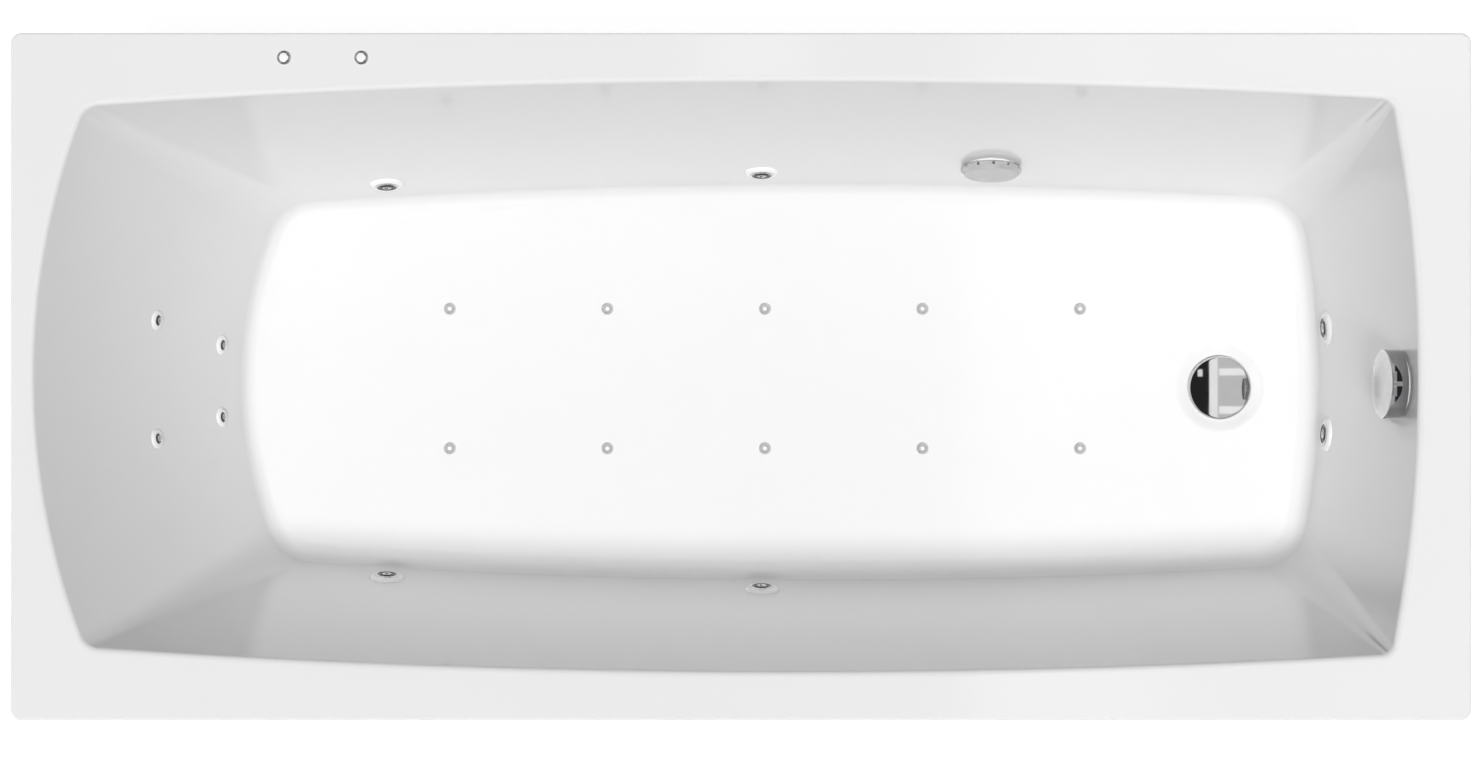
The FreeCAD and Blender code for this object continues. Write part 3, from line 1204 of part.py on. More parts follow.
def overflow_hose():
    """A ribbed hose from the overflow down to the waste, made of straight and bent stretches."""
    start, level = overflow_stub_end(), HOSE_Z
    end = Vector(WASTE_X + size("waste_body") / 2 + 18, size("waste_y"), level)
    corner = Vector(start.x, start.y, level)
    bend = 2.2 * size("overflow_hose")
    path = bent_path([start, corner, end], bend)
    core = swept("hose_core", path, "Size.overflow_hose_root / 2")
    inside = swept("hose_inside", path, "Size.overflow_hose_bore / 2")
    plain = size("overflow_hose")
    ribs = []
    step = size("rib_pitch")
    for first, last in ((start, corner), (end, corner)):
        way = (last - first).normalize()
        run = (last - first).Length - bend - plain
        for index in range(int(run / step)):
            foot = first + way * (plain + index * step)
            ribs.append(rod("hose_rib", "Size.overflow_hose / 2", foot, foot + way * step / 2))
    return cut("overflow_hose_cut", fuse("overflow_hose_blank", core, *ribs), inside)


def lift_cable():
    """The cable from the knob down to the plug's lifter."""
    start, level = cable_top(), HOSE_Z
    end = Vector(WASTE_X + size("waste_body") / 2 + 14, cable_y(), level)
    path = bent_path([start, Vector(start.x, start.y, level), end], 10 * size("cable"))
    return swept("lift_cable_sweep", path, "Size.cable / 2")


# ------------------------------------------------------------------- push buttons

def button_bezel(x):
    """A bezel and bellows housing that the button slides in."""
    bore = "Size.button / 2 + Size.gap"
    neck = "Size.button / 2 + 1.2"
    return turned("bezel", [
        ("0", "-Size.bellows_depth"), ("Size.bellows / 2 - 2", "-Size.bellows_depth"),
        ("Size.bellows / 2", "2 - Size.bellows_depth"), ("Size.bellows / 2", "-Size.wall"),
        (neck, "-Size.wall"), (neck, "0"), ("Size.bezel / 2", "0"), ("Size.bezel / 2", "0.6", 1.1),
        ("Size.bezel / 2 - 1", "Size.bezel_rise"), (bore, "Size.bezel_rise"),
        (bore, "-0.7 * Size.bellows_depth"), ("0", "-0.7 * Size.bellows_depth")],
        at(x, BUTTON_Y, RIM_TOP))


def push_button(name, x):
    radius = "Size.button / 2"
    low = "-0.7 * Size.bellows_depth + Size.button_travel + 1"
    return turned(name, [
        ("0", low), (radius, low), (radius, "Size.button_rise - 1.4", "1.2 * Size.button"),
        ("Size.button / 20", "Size.button_rise"), ("0", "Size.button_rise")], at(x, BUTTON_Y, RIM_TOP))


def button_tubes():
    box_top = BOX_UNDER + size("box_height")
    tubes = [rod("button_tube", "Size.button_tube / 2", (x, BUTTON_Y, box_top),
                 (x, BUTTON_Y, RIM_TOP - size("bellows_depth")))
             for x in BUTTON_STATIONS]
    return group("button_tubes_group", tubes)


# -------------------------------------------------------------------- pump and pipes

def pump_axis(y):
    """A placement on the pump's axis, with +Z towards the inlet."""
    return along((PUMP_X, y, PUMP_Z), Y_AXIS)


def pump_volute():
    """The volute with its inlet union and its outlet union straight up."""
    x = PUMP_X
    back, front, middle = VOLUTE_BACK_Y, VOLUTE_FRONT_Y, VOLUTE_MIDDLE_Y
    wall = size("volute_wall")
    drum = turned("volute_drum", [
        ("0", "0"), ("Size.volute / 2 - 4", "0"), ("Size.volute / 2", "4"),
        ("Size.volute / 2", "Size.volute_length - 10", 10.5), ("Size.volute / 2 - 10", "Size.volute_length"),
        ("0", "Size.volute_length")], pump_axis(back))
    inlet = cylinder("pump_inlet", "Size.inlet / 2", "Size.inlet_length + 2", pump_axis(front - 2))
    outlet = rod("pump_outlet", "Size.main_pipe / 2 + 3", (x, middle, PUMP_Z), (x, middle, OUTLET_TOP))
    cavity = cylinder("volute_cavity", "Size.impeller / 2 + 4", front - back - 2 * wall, pump_axis(back + wall))
    eye = cylinder("inlet_bore", "Size.suction_pipe_bore / 2", "3 * Size.inlet_length", pump_axis(front - wall - 1))
    bore = rod("outlet_bore", "Size.main_pipe_bore / 2", (x, middle, PUMP_Z), (x, middle, 2 * OUTLET_TOP))
    shaft_hole = cylinder("seal_hole", "Size.shaft / 2 + Size.gap", 3 * wall, pump_axis(back - wall))
    return cut("pump_volute_cut", fuse("volute_blank", drum, inlet, outlet), cavity, eye, bore, shaft_hole)


def motor_casing():
    """The motor's casing and windings, on its foot plate."""
    x, front, length = PUMP_X, size("motor_front_y"), size("motor_length")
    back = front - length
    plate_low = TRAY_TOP + size("pump_mount")
    drum = cylinder("motor_drum", "Size.motor / 2", "Size.motor_length", pump_axis(back))
    plate = block("motor_plate", (x - 55, back + 10, plate_low), (x + 55, front - 10, plate_low + size("pump_plate")))
    pedestal = block("motor_pedestal", (x - 35, back + 20, plate_low), (x + 35, front - 20, PUMP_Z - size("motor") / 4))
    fins = []
    for index in range(9):
        y = back + 15 + index * (length - 30) / 8
        fins.append(cylinder("motor_fin_groove", "Size.motor / 2 + 5", 5.0, pump_axis(y - 2.5)))
    ring_core = cylinder("fin_core", "Size.motor / 2 - 4", "2 * Size.motor_length", pump_axis(back - 40))
    lower = block("fin_limit", (x - 2 * 62, back - 40, 0), (x + 2 * 62, front + 40, PUMP_Z - 15))
    grooves = cut("motor_grooves", group("fin_grooves", fins), fuse("fin_keep", ring_core, lower))
    winding = cylinder("motor_bore", "Size.stator_bore / 2", length - 12, pump_axis(back - 1))
    shaft_hole = cylinder("motor_shaft_hole", "Size.shaft / 2 + Size.gap", 40.0, pump_axis(front - 20))
    return cut("motor_casing_cut", fuse("motor_blank", drum, plate, pedestal), grooves, winding, shaft_hole)


def fan_cowl():
    """The cowl over the motor's fan, with a ring of inlet holes."""
    back = size("motor_front_y") - size("motor_length") - size("cowl_length")
    cup = turned("cowl_cup", [
        ("0", "0"), ("Size.motor / 2 - 5", "0", 5.2), ("Size.motor / 2", "5"), ("Size.motor / 2", "Size.cowl_length"),
        ("Size.motor / 2 - Size.cowl_wall", "Size.cowl_length"), ("Size.motor / 2 - Size.cowl_wall", "Size.cowl_wall"),
        ("0", "Size.cowl_wall")], pump_axis(back))
    holes = []
    for radius, count in ((18, 6), (34, 12), (48, 16)):
        for index in range(count):
            angle = 2 * math.pi * index / count
            holes.append(cylinder("cowl_hole", 4.0, 20.0, pump_axis(back - 8).multiply(
                at(radius * math.cos(angle), radius * math.sin(angle), 0))))
    return cut("fan_cowl_cut", cup, *holes)


def pump_rotor():
    """Shaft, fan, rotor and impeller, which turn as one."""
    back = size("motor_front_y") - size("motor_length")
    fan, core, impeller = back - 32, back + 15, VOLUTE_BACK_Y + size("volute_wall") + 6
    start = back - size("cowl_length") + size("cowl_wall") + 4
    shaft = "Size.shaft / 2"
    return turned("pump_rotor_body", [
        ("0", "0"), (shaft, "0"), (shaft, fan - start), ("Size.motor / 2 - Size.cowl_wall - 8", fan - start),
        ("Size.motor / 2 - Size.cowl_wall - 8", fan - start + 14), (shaft, fan - start + 14),
        (shaft, core - start), ("Size.stator_bore / 2 - 1", core - start),
        ("Size.stator_bore / 2 - 1", core - start + 95), (shaft, core - start + 95),
        (shaft, impeller - start), ("Size.impeller / 2", impeller - start),
        ("Size.impeller / 2", impeller - start + 6), ("Size.impeller / 4", impeller - start + 24),
        ("0", impeller - start + 24)], pump_axis(start))


def pump_mounts():
    """Rubber mounts between the tray and the motor's foot plate."""
    front = size("motor_front_y")
    mounts = [cylinder("rubber_mount", "Size.pump_mount_diameter / 2", "Size.pump_mount",
                       at(PUMP_X + side * 40, y, TRAY_TOP))
              for side in (1, -1) for y in (front - 28, front - size("motor_length") + 28)]
    return group("pump_mounts_group", mounts)


def pressure_path():
    x, y, z = MAIN_X, MAIN_Y, MAIN_Z
    far, near = FOOT_JETS
    head = PUMP_X
    return bent_path([stub_end(far), jet_pipe_target(far), (x, y, z), (head, y, z), (head, -y, z),
                      (x, -y, z), jet_pipe_target(near), stub_end(near)], size("pipe_bend"))


def water_pipes():
    """The pressure pipe round the bath with its branches, and the back jets' hoses."""
    x, y, z = PUMP_X, MAIN_Y, MAIN_Z
    union = Vector(x, VOLUTE_MIDDLE_Y, OUTLET_TOP)
    outer = "Size.main_pipe / 2"
    sides = {side: rod("side_limit", outer, (x, side * y, z), (MAIN_X, side * y, z))
             for side in (1, -1)}
    head = rod("head_limit", outer, (x, -y, z), (x, y, z))
    runs = [(stub_end(spot), jet_pipe_target(spot), "Size.jet_stub", "Size.jet_stub_bore",
             sides[math.copysign(1, stub_end(spot).y)]) for spot in SIDE_JETS]
    runs.append((union, Vector(x, union.y, z), "Size.main_pipe", "Size.main_pipe_bore", head))
    branches, ports = [], []
    for start, end, across, bore, limit_pipe in runs:
        port = rod("branch_bore", bore + " / 2", start * 2 - end, end)
        branches.append(cut("branch", rod("branch_outside", across + " / 2", start, end), limit_pipe, port))
        ports.append(port)
    hoses = [cut("back_jet_hose", rod("back_hose", "Size.micro_hose / 2", micro_stub_end(spot), micro_target(spot)),
                 head) for spot in BACK_JETS]
    spans = pipe_spans("pressure_span", pressure_path(), outer, "Size.main_pipe_bore / 2", ports)
    return group("water_pipes_group", spans + branches + hoses)


# ----------------------------------------------------------------- blower and air

def blower_place(z):
    return at(BLOWER_X, BLOWER_Y, z)


def blower_casing():
    """The blower's casing, closed but for its spout."""
    x, y = BLOWER_X, BLOWER_Y
    level = SPOUT_Z
    drum = turned("blower_drum", [
        ("0", "0"), ("Size.blower / 2", "0"), ("Size.blower / 2", "0.45 * Size.blower_height"),
        ("0.42 * Size.blower", "0.5 * Size.blower_height"),
        ("0.42 * Size.blower", "Size.blower_height - 8", 8.4), ("0.42 * Size.blower - 8", "Size.blower_height"),
        ("0", "Size.blower_height")], blower_place(TRAY_TOP))
    spout = rod("blower_spout", "Size.air_pipe / 2 + 3", (x, y, level), (x + size("spout_reach"), y, level))
    hollow = turned("blower_hollow", [
        ("0", "Size.blower_wall"), ("Size.blower / 2 - Size.blower_wall", "Size.blower_wall"),
        ("Size.blower / 2 - Size.blower_wall", "0.45 * Size.blower_height - Size.blower_wall"),
        ("0.42 * Size.blower - Size.blower_wall", "0.5 * Size.blower_height - Size.blower_wall"),
        ("0.42 * Size.blower - Size.blower_wall", "Size.blower_height - Size.blower_wall"),
        ("0", "Size.blower_height - Size.blower_wall")], blower_place(TRAY_TOP))
    bore = rod("spout_bore", "Size.air_pipe_bore / 2", (x, y, level), (x + 2 * size("spout_reach"), y, level))
    pin = cylinder("blower_pin", 5.0, "Size.blower_wall + 3", blower_place(TRAY_TOP))
    shell = cut("blower_shell", fuse("blower_blank", drum, spout), hollow, bore)
    return fuse("blower_casing_fuse", shell, pin)


def blower_rotor():
    """The blower's wheel and motor rotor, which turn on a pin."""
    low = "Size.blower_wall + 1"
    return turned("blower_rotor_body", [
        ("5 + Size.gap", low), ("Size.blower_wheel / 2", low), ("Size.blower_wheel / 2", "0.4 * Size.blower_height - 3"),
        ("24", "0.4 * Size.blower_height + 4"), ("24", "Size.blower_height - 14"), ("0", "Size.blower_height - 14"),
        ("0", "Size.blower_wall + 4 + 1"), ("5 + Size.gap", "Size.blower_wall + 4 + 1")],
        blower_place(TRAY_TOP))


def air_rows():
    """The two rows of air pipe under the floor, as solid bars."""
    z, margin = AIR_PIPE_Z, size("air_row_margin")
    return [rod("air_row", "Size.air_pipe / 2", (AIR_STATIONS[0] - margin, y, z), (AIR_STATIONS[-1] + margin, y, z))
            for y in AIR_ROWS]


def air_pipes(rows):
    """The blower's feed under the near side, the two rows, and the link between them."""
    x, y, z = BLOWER_X + size("spout_reach"), BLOWER_Y, AIR_PIPE_Z
    drop, cross, spout = AIR_DROP_X, size("air_feed_x"), SPOUT_Z
    far, near = AIR_ROWS
    bore, feed, feed_bore = "Size.air_pipe_bore / 2", "Size.air_feed / 2", "Size.air_feed_bore / 2"
    path = bent_path([(x, y, spout), (drop, y, spout), (drop, y, z), (cross, y, z), (cross, near, z)],
                     0.8 * size("air_pipe"))
    spans = pipe_spans("air_span", path, feed, feed_bore)
    spans[-1] = cut("air_span_end", spans[-1], rows[1])
    link_bore = rod("air_link_bore", feed_bore, (cross, near - size("air_pipe"), z), (cross, far, z))
    link = cut("air_link", rod("air_link_outside", feed, (cross, near, z), (cross, far, z)), *rows, link_bore)
    ports = [cylinder("air_port", "Size.air_bore / 2 + 0.5", "Size.air_pipe", at(station, row, z))
             for station in AIR_STATIONS for row in AIR_ROWS]
    margin = size("air_row_margin") - (size("air_pipe") - size("air_pipe_bore")) / 2
    pieces = [link]
    for row, outside in zip(AIR_ROWS, rows):
        hollow = rod("air_row_bore", bore, (AIR_STATIONS[0] - margin, row, z), (AIR_STATIONS[-1] + margin, row, z))
        mine = [port for port in ports if port.Placement.Base.y == row]
        pieces.append(cut("air_row_pipe", outside, fuse("air_row_inside", hollow, link_bore, *mine)))
    return group("air_pipes_group", spans + pieces)


# ------------------------------------------------------------------------ control box

def control_box():
    """A closed box on the far rim post at the head end, with a gland for its mains cable."""
    z, wall = BOX_UNDER, size("box_wall")
    low = Vector(BEARER_STATIONS[0] + size("post") / 2, POST_Y - size("box_inset"), z)
    high = low + Vector(size("box_length"), size("box_width"), size("box_height"))
    inset = Vector(wall, wall, wall)
    outlet = Vector(high.x - size("gland") - wall, (low.y + high.y) / 2, z)
    gland = rod("mains_gland", "Size.gland / 2", outlet - Z_AXIS * size("gland_length"), outlet)
    bore = rod("gland_hole", "Size.gland_bore / 2", outlet - Z_AXIS * size("gland_length"), outlet + Z_AXIS * 2 * wall)
    solid = fuse("box_blank", block("box_outside", low, high), gland)
    return cut("control_box_cut", solid, block("box_inside", low + inset, high - inset), bore)


# ------------------------------------------------------------------------ assembly

NODES = {}


def node(name, thing):
    """Names a finished piece."""
    thing.Label = name
    NODES[name] = thing


def build():
    node("bath_shell", bath_shell())
    node("base_board", base_board())
    node("cross_bearers", cross_bearers())
    node("tray_rails", tray_rails())
    node("equipment_tray", equipment_tray())
    node("rim_posts", rim_posts())
    node("frame_bolts", frame_bolts())
    node("leg_nuts", leg_nuts())
    for index, (x, y) in enumerate(leg_stations(), start=1):
        node(f"levelling_leg_{index}", levelling_leg(f"leg_{index}", x, y))
    node("jet_flanges", group("jet_flange_group", [jet_flange(spot) for spot in JETS]))
    node("jet_lock_nuts", group("jet_nut_group", [jet_nut(spot) for spot in JETS]))
    node("jet_bodies", group("jet_body_group", [jet_body(spot) for spot in JETS]))
    for index, spot in enumerate(JETS, start=1):
        node(f"jet_ring_{index}", jet_ring(f"ring_{index}", spot))
        node(f"jet_nozzle_{index}", jet_nozzle(f"ball_{index}", spot))
    node("back_jet_flanges", group("micro_flange_group", [micro_flange(spot) for spot in BACK_JETS]))
    node("back_jet_nozzles", group("micro_nozzle_group", [micro_nozzle(spot) for spot in BACK_JETS]))
    node("back_jet_bodies", group("micro_body_group", [micro_body(spot) for spot in BACK_JETS]))
    stations = [(x, y) for x in AIR_STATIONS for y in AIR_ROWS]
    node("air_jet_caps", group("air_cap_group", [air_cap(x, y) for x, y in stations]))
    rows = air_rows()
    node("air_jet_bodies", group("air_body_group", [
        air_body(x, y, rows[AIR_ROWS.index(y)]) for x, y in stations]))
    node("air_pipes", air_pipes(rows))
    node("suction_cover", suction_cover())
    node("suction_flange", suction_flange())
    node("suction_body", suction_body())
    node("suction_pipe", suction_pipe())
    node("waste_flange", waste_flange())
    node("waste_plug", waste_plug())
    node("waste_body", waste_body())
    node("trap_body", trap_body())
    node("trap_nuts", trap_nuts())
    node("overflow_knob", overflow_knob())
    node("overflow_flange", overflow_flange())
    node("overflow_body", overflow_body())
    node("overflow_hose", overflow_hose())
    node("lift_cable", lift_cable())
    node("button_bezels", group("bezel_group", [button_bezel(x) for x in BUTTON_STATIONS]))
    for index, x in enumerate(BUTTON_STATIONS, start=1):
        node(f"push_button_{index}", push_button(f"button_{index}", x))
    node("button_tubes", button_tubes())
    node("pump_volute", pump_volute())
    node("motor_casing", motor_casing())
    node("fan_cowl", fan_cowl())
    node("pump_rotor", pump_rotor())
    node("pump_mounts", pump_mounts())
    node("water_pipes", water_pipes())
    node("blower_casing", blower_casing())
    node("blower_rotor", blower_rotor())
    node("control_box", control_box())


def check_and_write():
    """Every piece is sound before anything is written."""
    doc.recompute()
    for thing in doc.Objects:
        if "Invalid" in thing.State or "Error" in thing.State:
            raise RuntimeError(f"{thing.Name} failed: {thing.State}")
    for name, thing in NODES.items():
        shape = thing.Shape
        if shape.isNull() or not shape.isValid() or not shape.Solids:
            raise RuntimeError(f"{name} has no sound shape")
    os.makedirs("parts", exist_ok=True)
    for name, thing in NODES.items():
        thing.Shape.exportStep(f"parts/{name}.step")
        print(f"{name}: {len(thing.Shape.Solids)} solids, {thing.Shape.Volume / 1000:.1f} cm3")


build()
check_and_write()
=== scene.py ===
"""Jetted bathtub: the finished look of the bath, its fittings and its frame."""
import json
import math

import bmesh
import bpy
from bpy.props import FloatProperty, FloatVectorProperty, IntProperty, PointerProperty
from bpy.types import Operator, Panel, PropertyGroup
from mathutils import Matrix, Vector


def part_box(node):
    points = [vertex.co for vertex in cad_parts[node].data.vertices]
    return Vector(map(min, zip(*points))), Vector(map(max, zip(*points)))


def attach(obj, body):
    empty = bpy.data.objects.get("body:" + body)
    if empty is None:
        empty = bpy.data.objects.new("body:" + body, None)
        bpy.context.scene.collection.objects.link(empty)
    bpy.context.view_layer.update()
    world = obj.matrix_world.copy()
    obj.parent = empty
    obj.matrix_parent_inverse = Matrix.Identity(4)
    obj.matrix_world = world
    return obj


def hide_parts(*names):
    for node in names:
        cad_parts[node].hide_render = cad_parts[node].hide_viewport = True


bl_info = {
    "name": "Jetted Bathtub",
    "version": (1, 0, 0),
    "blender": (4, 5, 0),
    "location": "View3D > Sidebar > Bathtub",
    "description": "Builds the surfaces, fittings and hoses of a jetted bathtub around its frame",
    "category": "Add Mesh",
}

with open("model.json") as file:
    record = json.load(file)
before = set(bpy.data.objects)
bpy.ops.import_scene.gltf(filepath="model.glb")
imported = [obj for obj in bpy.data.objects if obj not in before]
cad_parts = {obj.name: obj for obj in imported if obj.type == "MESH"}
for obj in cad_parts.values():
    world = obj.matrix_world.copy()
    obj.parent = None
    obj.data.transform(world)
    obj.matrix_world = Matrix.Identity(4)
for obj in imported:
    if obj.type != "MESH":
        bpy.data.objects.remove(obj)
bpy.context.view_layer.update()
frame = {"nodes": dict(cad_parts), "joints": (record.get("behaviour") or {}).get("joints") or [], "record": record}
NODES = frame["nodes"]
JOINTS = {joint["name"]: joint for joint in frame["joints"]}

SHELL_LOW, SHELL_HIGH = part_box("bath_shell")
UP = Vector((0, 0, 1))


# ---- sizes and colours

def length(value, description):
    """A length property in metres."""
    return FloatProperty(default=value, description=description, unit="LENGTH", subtype="DISTANCE",
                         precision=4)


def angle(degrees, description):
    """An angle property."""
    return FloatProperty(default=math.radians(degrees), description=description, unit="ROTATION",
                         subtype="ANGLE")


def colour(value, description):
    """A colour property without alpha."""
    return FloatVectorProperty(default=value, description=description, size=3, min=0, max=1, subtype="COLOR")


def labelled(group):
    """Labels each property of a group after its own name."""
    for name, entry in group.__annotations__.items():
        entry.keywords["name"] = name.replace("_", " ").title()
    return group


@labelled
class BasinSizes(PropertyGroup):
    """The basin's outline at its rim and at its floor, and its roundings."""
    rim_length: length(SHELL_HIGH.x - SHELL_LOW.x, "Length over the rim")
    rim_width: length(SHELL_HIGH.y - SHELL_LOW.y, "Width over the rim")
    rim_top: length(SHELL_HIGH.z, "Room's floor to the rim")
    depth: length(0.435, "Rim to the basin's floor")
    wall: length(0.006, "Thickness of the acrylic")
    rim_corner: length(0.012, "Radius of the rim's corners")
    rim_edge: length(0.003, "Rounding of the rim's outer edge")
    lip: length(0.046, "Height of the turned down lip")
    mouth: length(0.008, "Rounding from the rim into the basin")
    fillet: length(0.026, "Rounding from the floor into the walls")
    rim_head: length(0.025, "Rim's width at the head end")
    rim_foot: length(0.061, "Rim's width at the foot end")
    rim_half_width: length(0.344, "Half the basin's width at the rim")
    rim_head_corner: length(0.024, "Corner radius at the rim")
    rim_foot_corner: length(0.016, "Corner radius at the rim")
    floor_head: length(0.637, "Middle to the head wall at the floor")
    floor_foot: length(0.740, "Middle to the foot wall at the floor")
    floor_half_width: length(0.250, "Half the basin's width at the floor")
    floor_corner: length(0.064, "Corner radius at the floor")
    head_sweep: angle(20.5, "How far the head wall's arc turns")
    foot_sweep: angle(10.5, "How far the foot wall's arc turns")
    side_sweep_head: angle(3.9, "How far a side's arc turns to the head")
    side_sweep_foot: angle(3.3, "How far a side's arc turns to the foot")
    recess: length(0.058, "Radius of the dish round the waste")
    recess_floor: length(0.0415, "Radius of the dish's flat floor")
    recess_depth: length(0.004, "Depth of the dish")


@labelled
class FittingSizes(PropertyGroup):
    """Sizes of the jets, the waste, the knob and the buttons."""
    jet_hole: length(0.01705, "Radius of a water jet's hole")
    back_jet_hole: length(0.0083, "Radius of a back jet's hole")
    suction_hole: length(0.0253, "Radius of the suction's hole")
    suction_height: length(0.105, "Suction above the basin's floor")
    overflow_hole: length(0.0223, "Radius of the overflow's hole")
    waste_hole: length(0.0243, "Radius of the waste's hole")
    air_hole: length(0.0043, "Radius of an air jet's hole")
    button_hole: length(0.0075, "Radius of a push button's hole")
    air_pitch: length(0.20325, "Spacing of the air jets along the bath")
    air_spacing: length(0.180, "Spacing of the two rows")
    air_count: IntProperty(default=5, min=1, description="Air jets in each row")
    rib_pitch: length(0.0062, "Spacing of the overflow hose's ribs")
    rib_height: length(0.0016, "How far a rib stands out of the hose")


@labelled
class Finishes(PropertyGroup):
    """Colours of the bath's finishes."""
    acrylic: colour((0.82, 0.82, 0.82), "Gloss acrylic of the bath")
    fitting: colour((0.93, 0.93, 0.93), "Moulded white fittings")
    chrome: colour((0.80, 0.80, 0.80), "Polished chrome")
    # painted shade: this dark chrome colour stands in for the shade and dark reflection inside the jets' throats
    smoked: colour((0.13, 0.13, 0.135), "Dark chrome in the jets' throats")
    # painted reflection: this darker chrome stands in for the dark reflection on the knob's side
    side: colour((0.42, 0.42, 0.43), "Dark chrome round the overflow knob")
    knob: colour((0.66, 0.66, 0.66), "Satin chrome on the overflow knob's face")
    collar: colour((0.70, 0.70, 0.70), "Satin collars of the air jets")
    satin: colour((0.58, 0.58, 0.58), "Satin cover of the suction")
    pipe: colour((0.70, 0.70, 0.68), "Pressure pipe and waste")
    hose: colour((0.34, 0.36, 0.38), "Ribbed and plain hoses")
    board: colour((0.56, 0.42, 0.24), "Board under the basin")
    steel: colour((0.085, 0.09, 0.095), "Powder coat of the frame")
    zinc: colour((0.55, 0.55, 0.57), "Bolts, nuts and legs")
    pump: colour((0.012, 0.012, 0.014), "Pump's and blower's plastic")
    motor: colour((0.06, 0.075, 0.10), "Motor's paint")
    rubber: colour((0.02, 0.02, 0.02), "Mounts, cable and air tubes")


def basin():
    return bpy.context.scene.bath_basin


def fittings():
    return bpy.context.scene.bath_fittings


def finishes():
    return bpy.context.scene.bath_finishes


# ---- node helpers

FLOAT, VECTOR, COLOUR = "NodeSocketFloat", "NodeSocketVector", "NodeSocketColor"


def add_node(tree, kind, inputs, **settings):
    """A new node with its settings; each input takes a value or a link."""
    node = tree.nodes.new(kind)
    for name, value in settings.items():
        setattr(node, name, value)
    for label, value in inputs.items():
        if isinstance(value, bpy.types.NodeSocket):
            tree.links.new(value, node.inputs[label])
        else:
            node.inputs[label].default_value = value
    return node


def new_tree(name, kind, inputs, outputs):
    """An empty node group with its sockets: the tree, what goes in and what comes out."""
    tree = bpy.data.node_groups.new(name, kind)
    for label, socket_type, value in inputs:
        socket = tree.interface.new_socket(label, in_out="INPUT", socket_type=socket_type)
        if value is not None:
            socket.default_value = value
    for label, socket_type in outputs:
        tree.interface.new_socket(label, in_out="OUTPUT", socket_type=socket_type)
    return tree, tree.nodes.new("NodeGroupInput").outputs, tree.nodes.new("NodeGroupOutput").inputs


def noise(tree, scale, detail, vector):
    node = add_node(tree, "ShaderNodeTexNoise", {"Scale": scale, "Detail": detail, "Vector": vector})
    return node.outputs["Fac"]


def remap(tree, value, low, high, to_low, to_high):
    """A value moved from one range to another, clamped; ends may be sockets."""
    node = add_node(tree, "ShaderNodeMapRange", {
        "Value": value, "From Min": low, "From Max": high, "To Min": to_low, "To Max": to_high})
    return node.outputs["Result"]


def mixed(tree, share, first, second):
    """Two colours mixed by a share."""
    node = add_node(tree, "ShaderNodeMix", {"Factor": share, "A": first, "B": second}, data_type="RGBA")
    return next(socket for socket in node.outputs if socket.type == "RGBA")


def shader_mix(tree, share, first, second):
    """Two shaders mixed by a share."""
    return add_node(tree, "ShaderNodeMixShader", {0: share, 1: first, 2: second}).outputs[0]


def math_node(tree, operation, first, second=0.0):
    return add_node(tree, "ShaderNodeMath", {0: first, 1: second}, operation=operation).outputs[0]


# ---- shader groups

def mottled_group():
    """Soft cloudy variation: colour between two shades, roughness between two ends, fine height."""
    group, source, sink = new_tree(
        "mottled finish", "ShaderNodeTree",
        (("Vector", VECTOR, (0, 0, 0)), ("Shade", COLOUR, (1, 1, 1, 1)),
         ("Shade Worn", COLOUR, (0.9, 0.9, 0.9, 1)), ("Cloud Scale", FLOAT, 6.0),
         ("Grain Scale", FLOAT, 400.0), ("Smooth", FLOAT, 0.1), ("Rough", FLOAT, 0.2)),
        (("Color", COLOUR), ("Roughness", FLOAT), ("Height", FLOAT)))
    clouds = noise(group, source["Cloud Scale"], 4, source["Vector"])
    grain = noise(group, source["Grain Scale"], 3, source["Vector"])
    share = remap(group, clouds, 0.35, 0.7, 0.0, 1.0)
    group.links.new(mixed(group, share, source["Shade"], source["Shade Worn"]), sink["Color"])
    group.links.new(remap(group, clouds, 0.3, 0.75, source["Smooth"], source["Rough"]), sink["Roughness"])
    group.links.new(grain, sink["Height"])
    return group


def brushed_group():
    """Fine streaks along one axis, for zinc, satin and turned metal."""
    group, source, sink = new_tree(
        "drawn streaks", "ShaderNodeTree",
        (("Vector", VECTOR, (0, 0, 0)), ("Streak", VECTOR, (1, 1, 0.02)), ("Scale", FLOAT, 900.0),
         ("Smooth", FLOAT, 0.2), ("Rough", FLOAT, 0.35)),
        (("Roughness", FLOAT), ("Height", FLOAT)))
    stretch = add_node(group, "ShaderNodeVectorMath", {0: source["Vector"], 1: source["Streak"]},
                       operation="MULTIPLY")
    streaks = noise(group, source["Scale"], 2, stretch.outputs[0])
    group.links.new(remap(group, streaks, 0.3, 0.7, source["Smooth"], source["Rough"]), sink["Roughness"])
    group.links.new(streaks, sink["Height"])
    return group


def chipboard_group():
    """Pressed wood flakes of several tones."""
    group, source, sink = new_tree(
        "pressed flakes", "ShaderNodeTree",
        (("Vector", VECTOR, (0, 0, 0)), ("Pale", COLOUR, (0.6, 0.45, 0.28, 1)),
         ("Dark", COLOUR, (0.3, 0.2, 0.1, 1)), ("Flake Scale", FLOAT, 160.0)),
        (("Color", COLOUR), ("Roughness", FLOAT), ("Height", FLOAT)))
    cells = add_node(group, "ShaderNodeTexVoronoi", {
        "Vector": source["Vector"], "Scale": source["Flake Scale"]})
    tones = add_node(group, "ShaderNodeSeparateColor", {0: cells.outputs["Color"]})
    cloud = noise(group, 9.0, 3, source["Vector"])
    share = math_node(group, "MULTIPLY", tones.outputs[0], remap(group, cloud, 0.3, 0.7, 0.5, 1.0))
    group.links.new(mixed(group, share, source["Pale"], source["Dark"]), sink["Color"])
    group.links.new(remap(group, share, 0.0, 1.0, 0.55, 0.8), sink["Roughness"])
    group.links.new(cells.outputs["Distance"], sink["Height"])
    return group


GROUPS = {}


def shared_group(maker):
    """A node group that is built once and used by several materials."""
    if maker not in GROUPS:
        GROUPS[maker] = maker()
    return GROUPS[maker]


# ---- materials

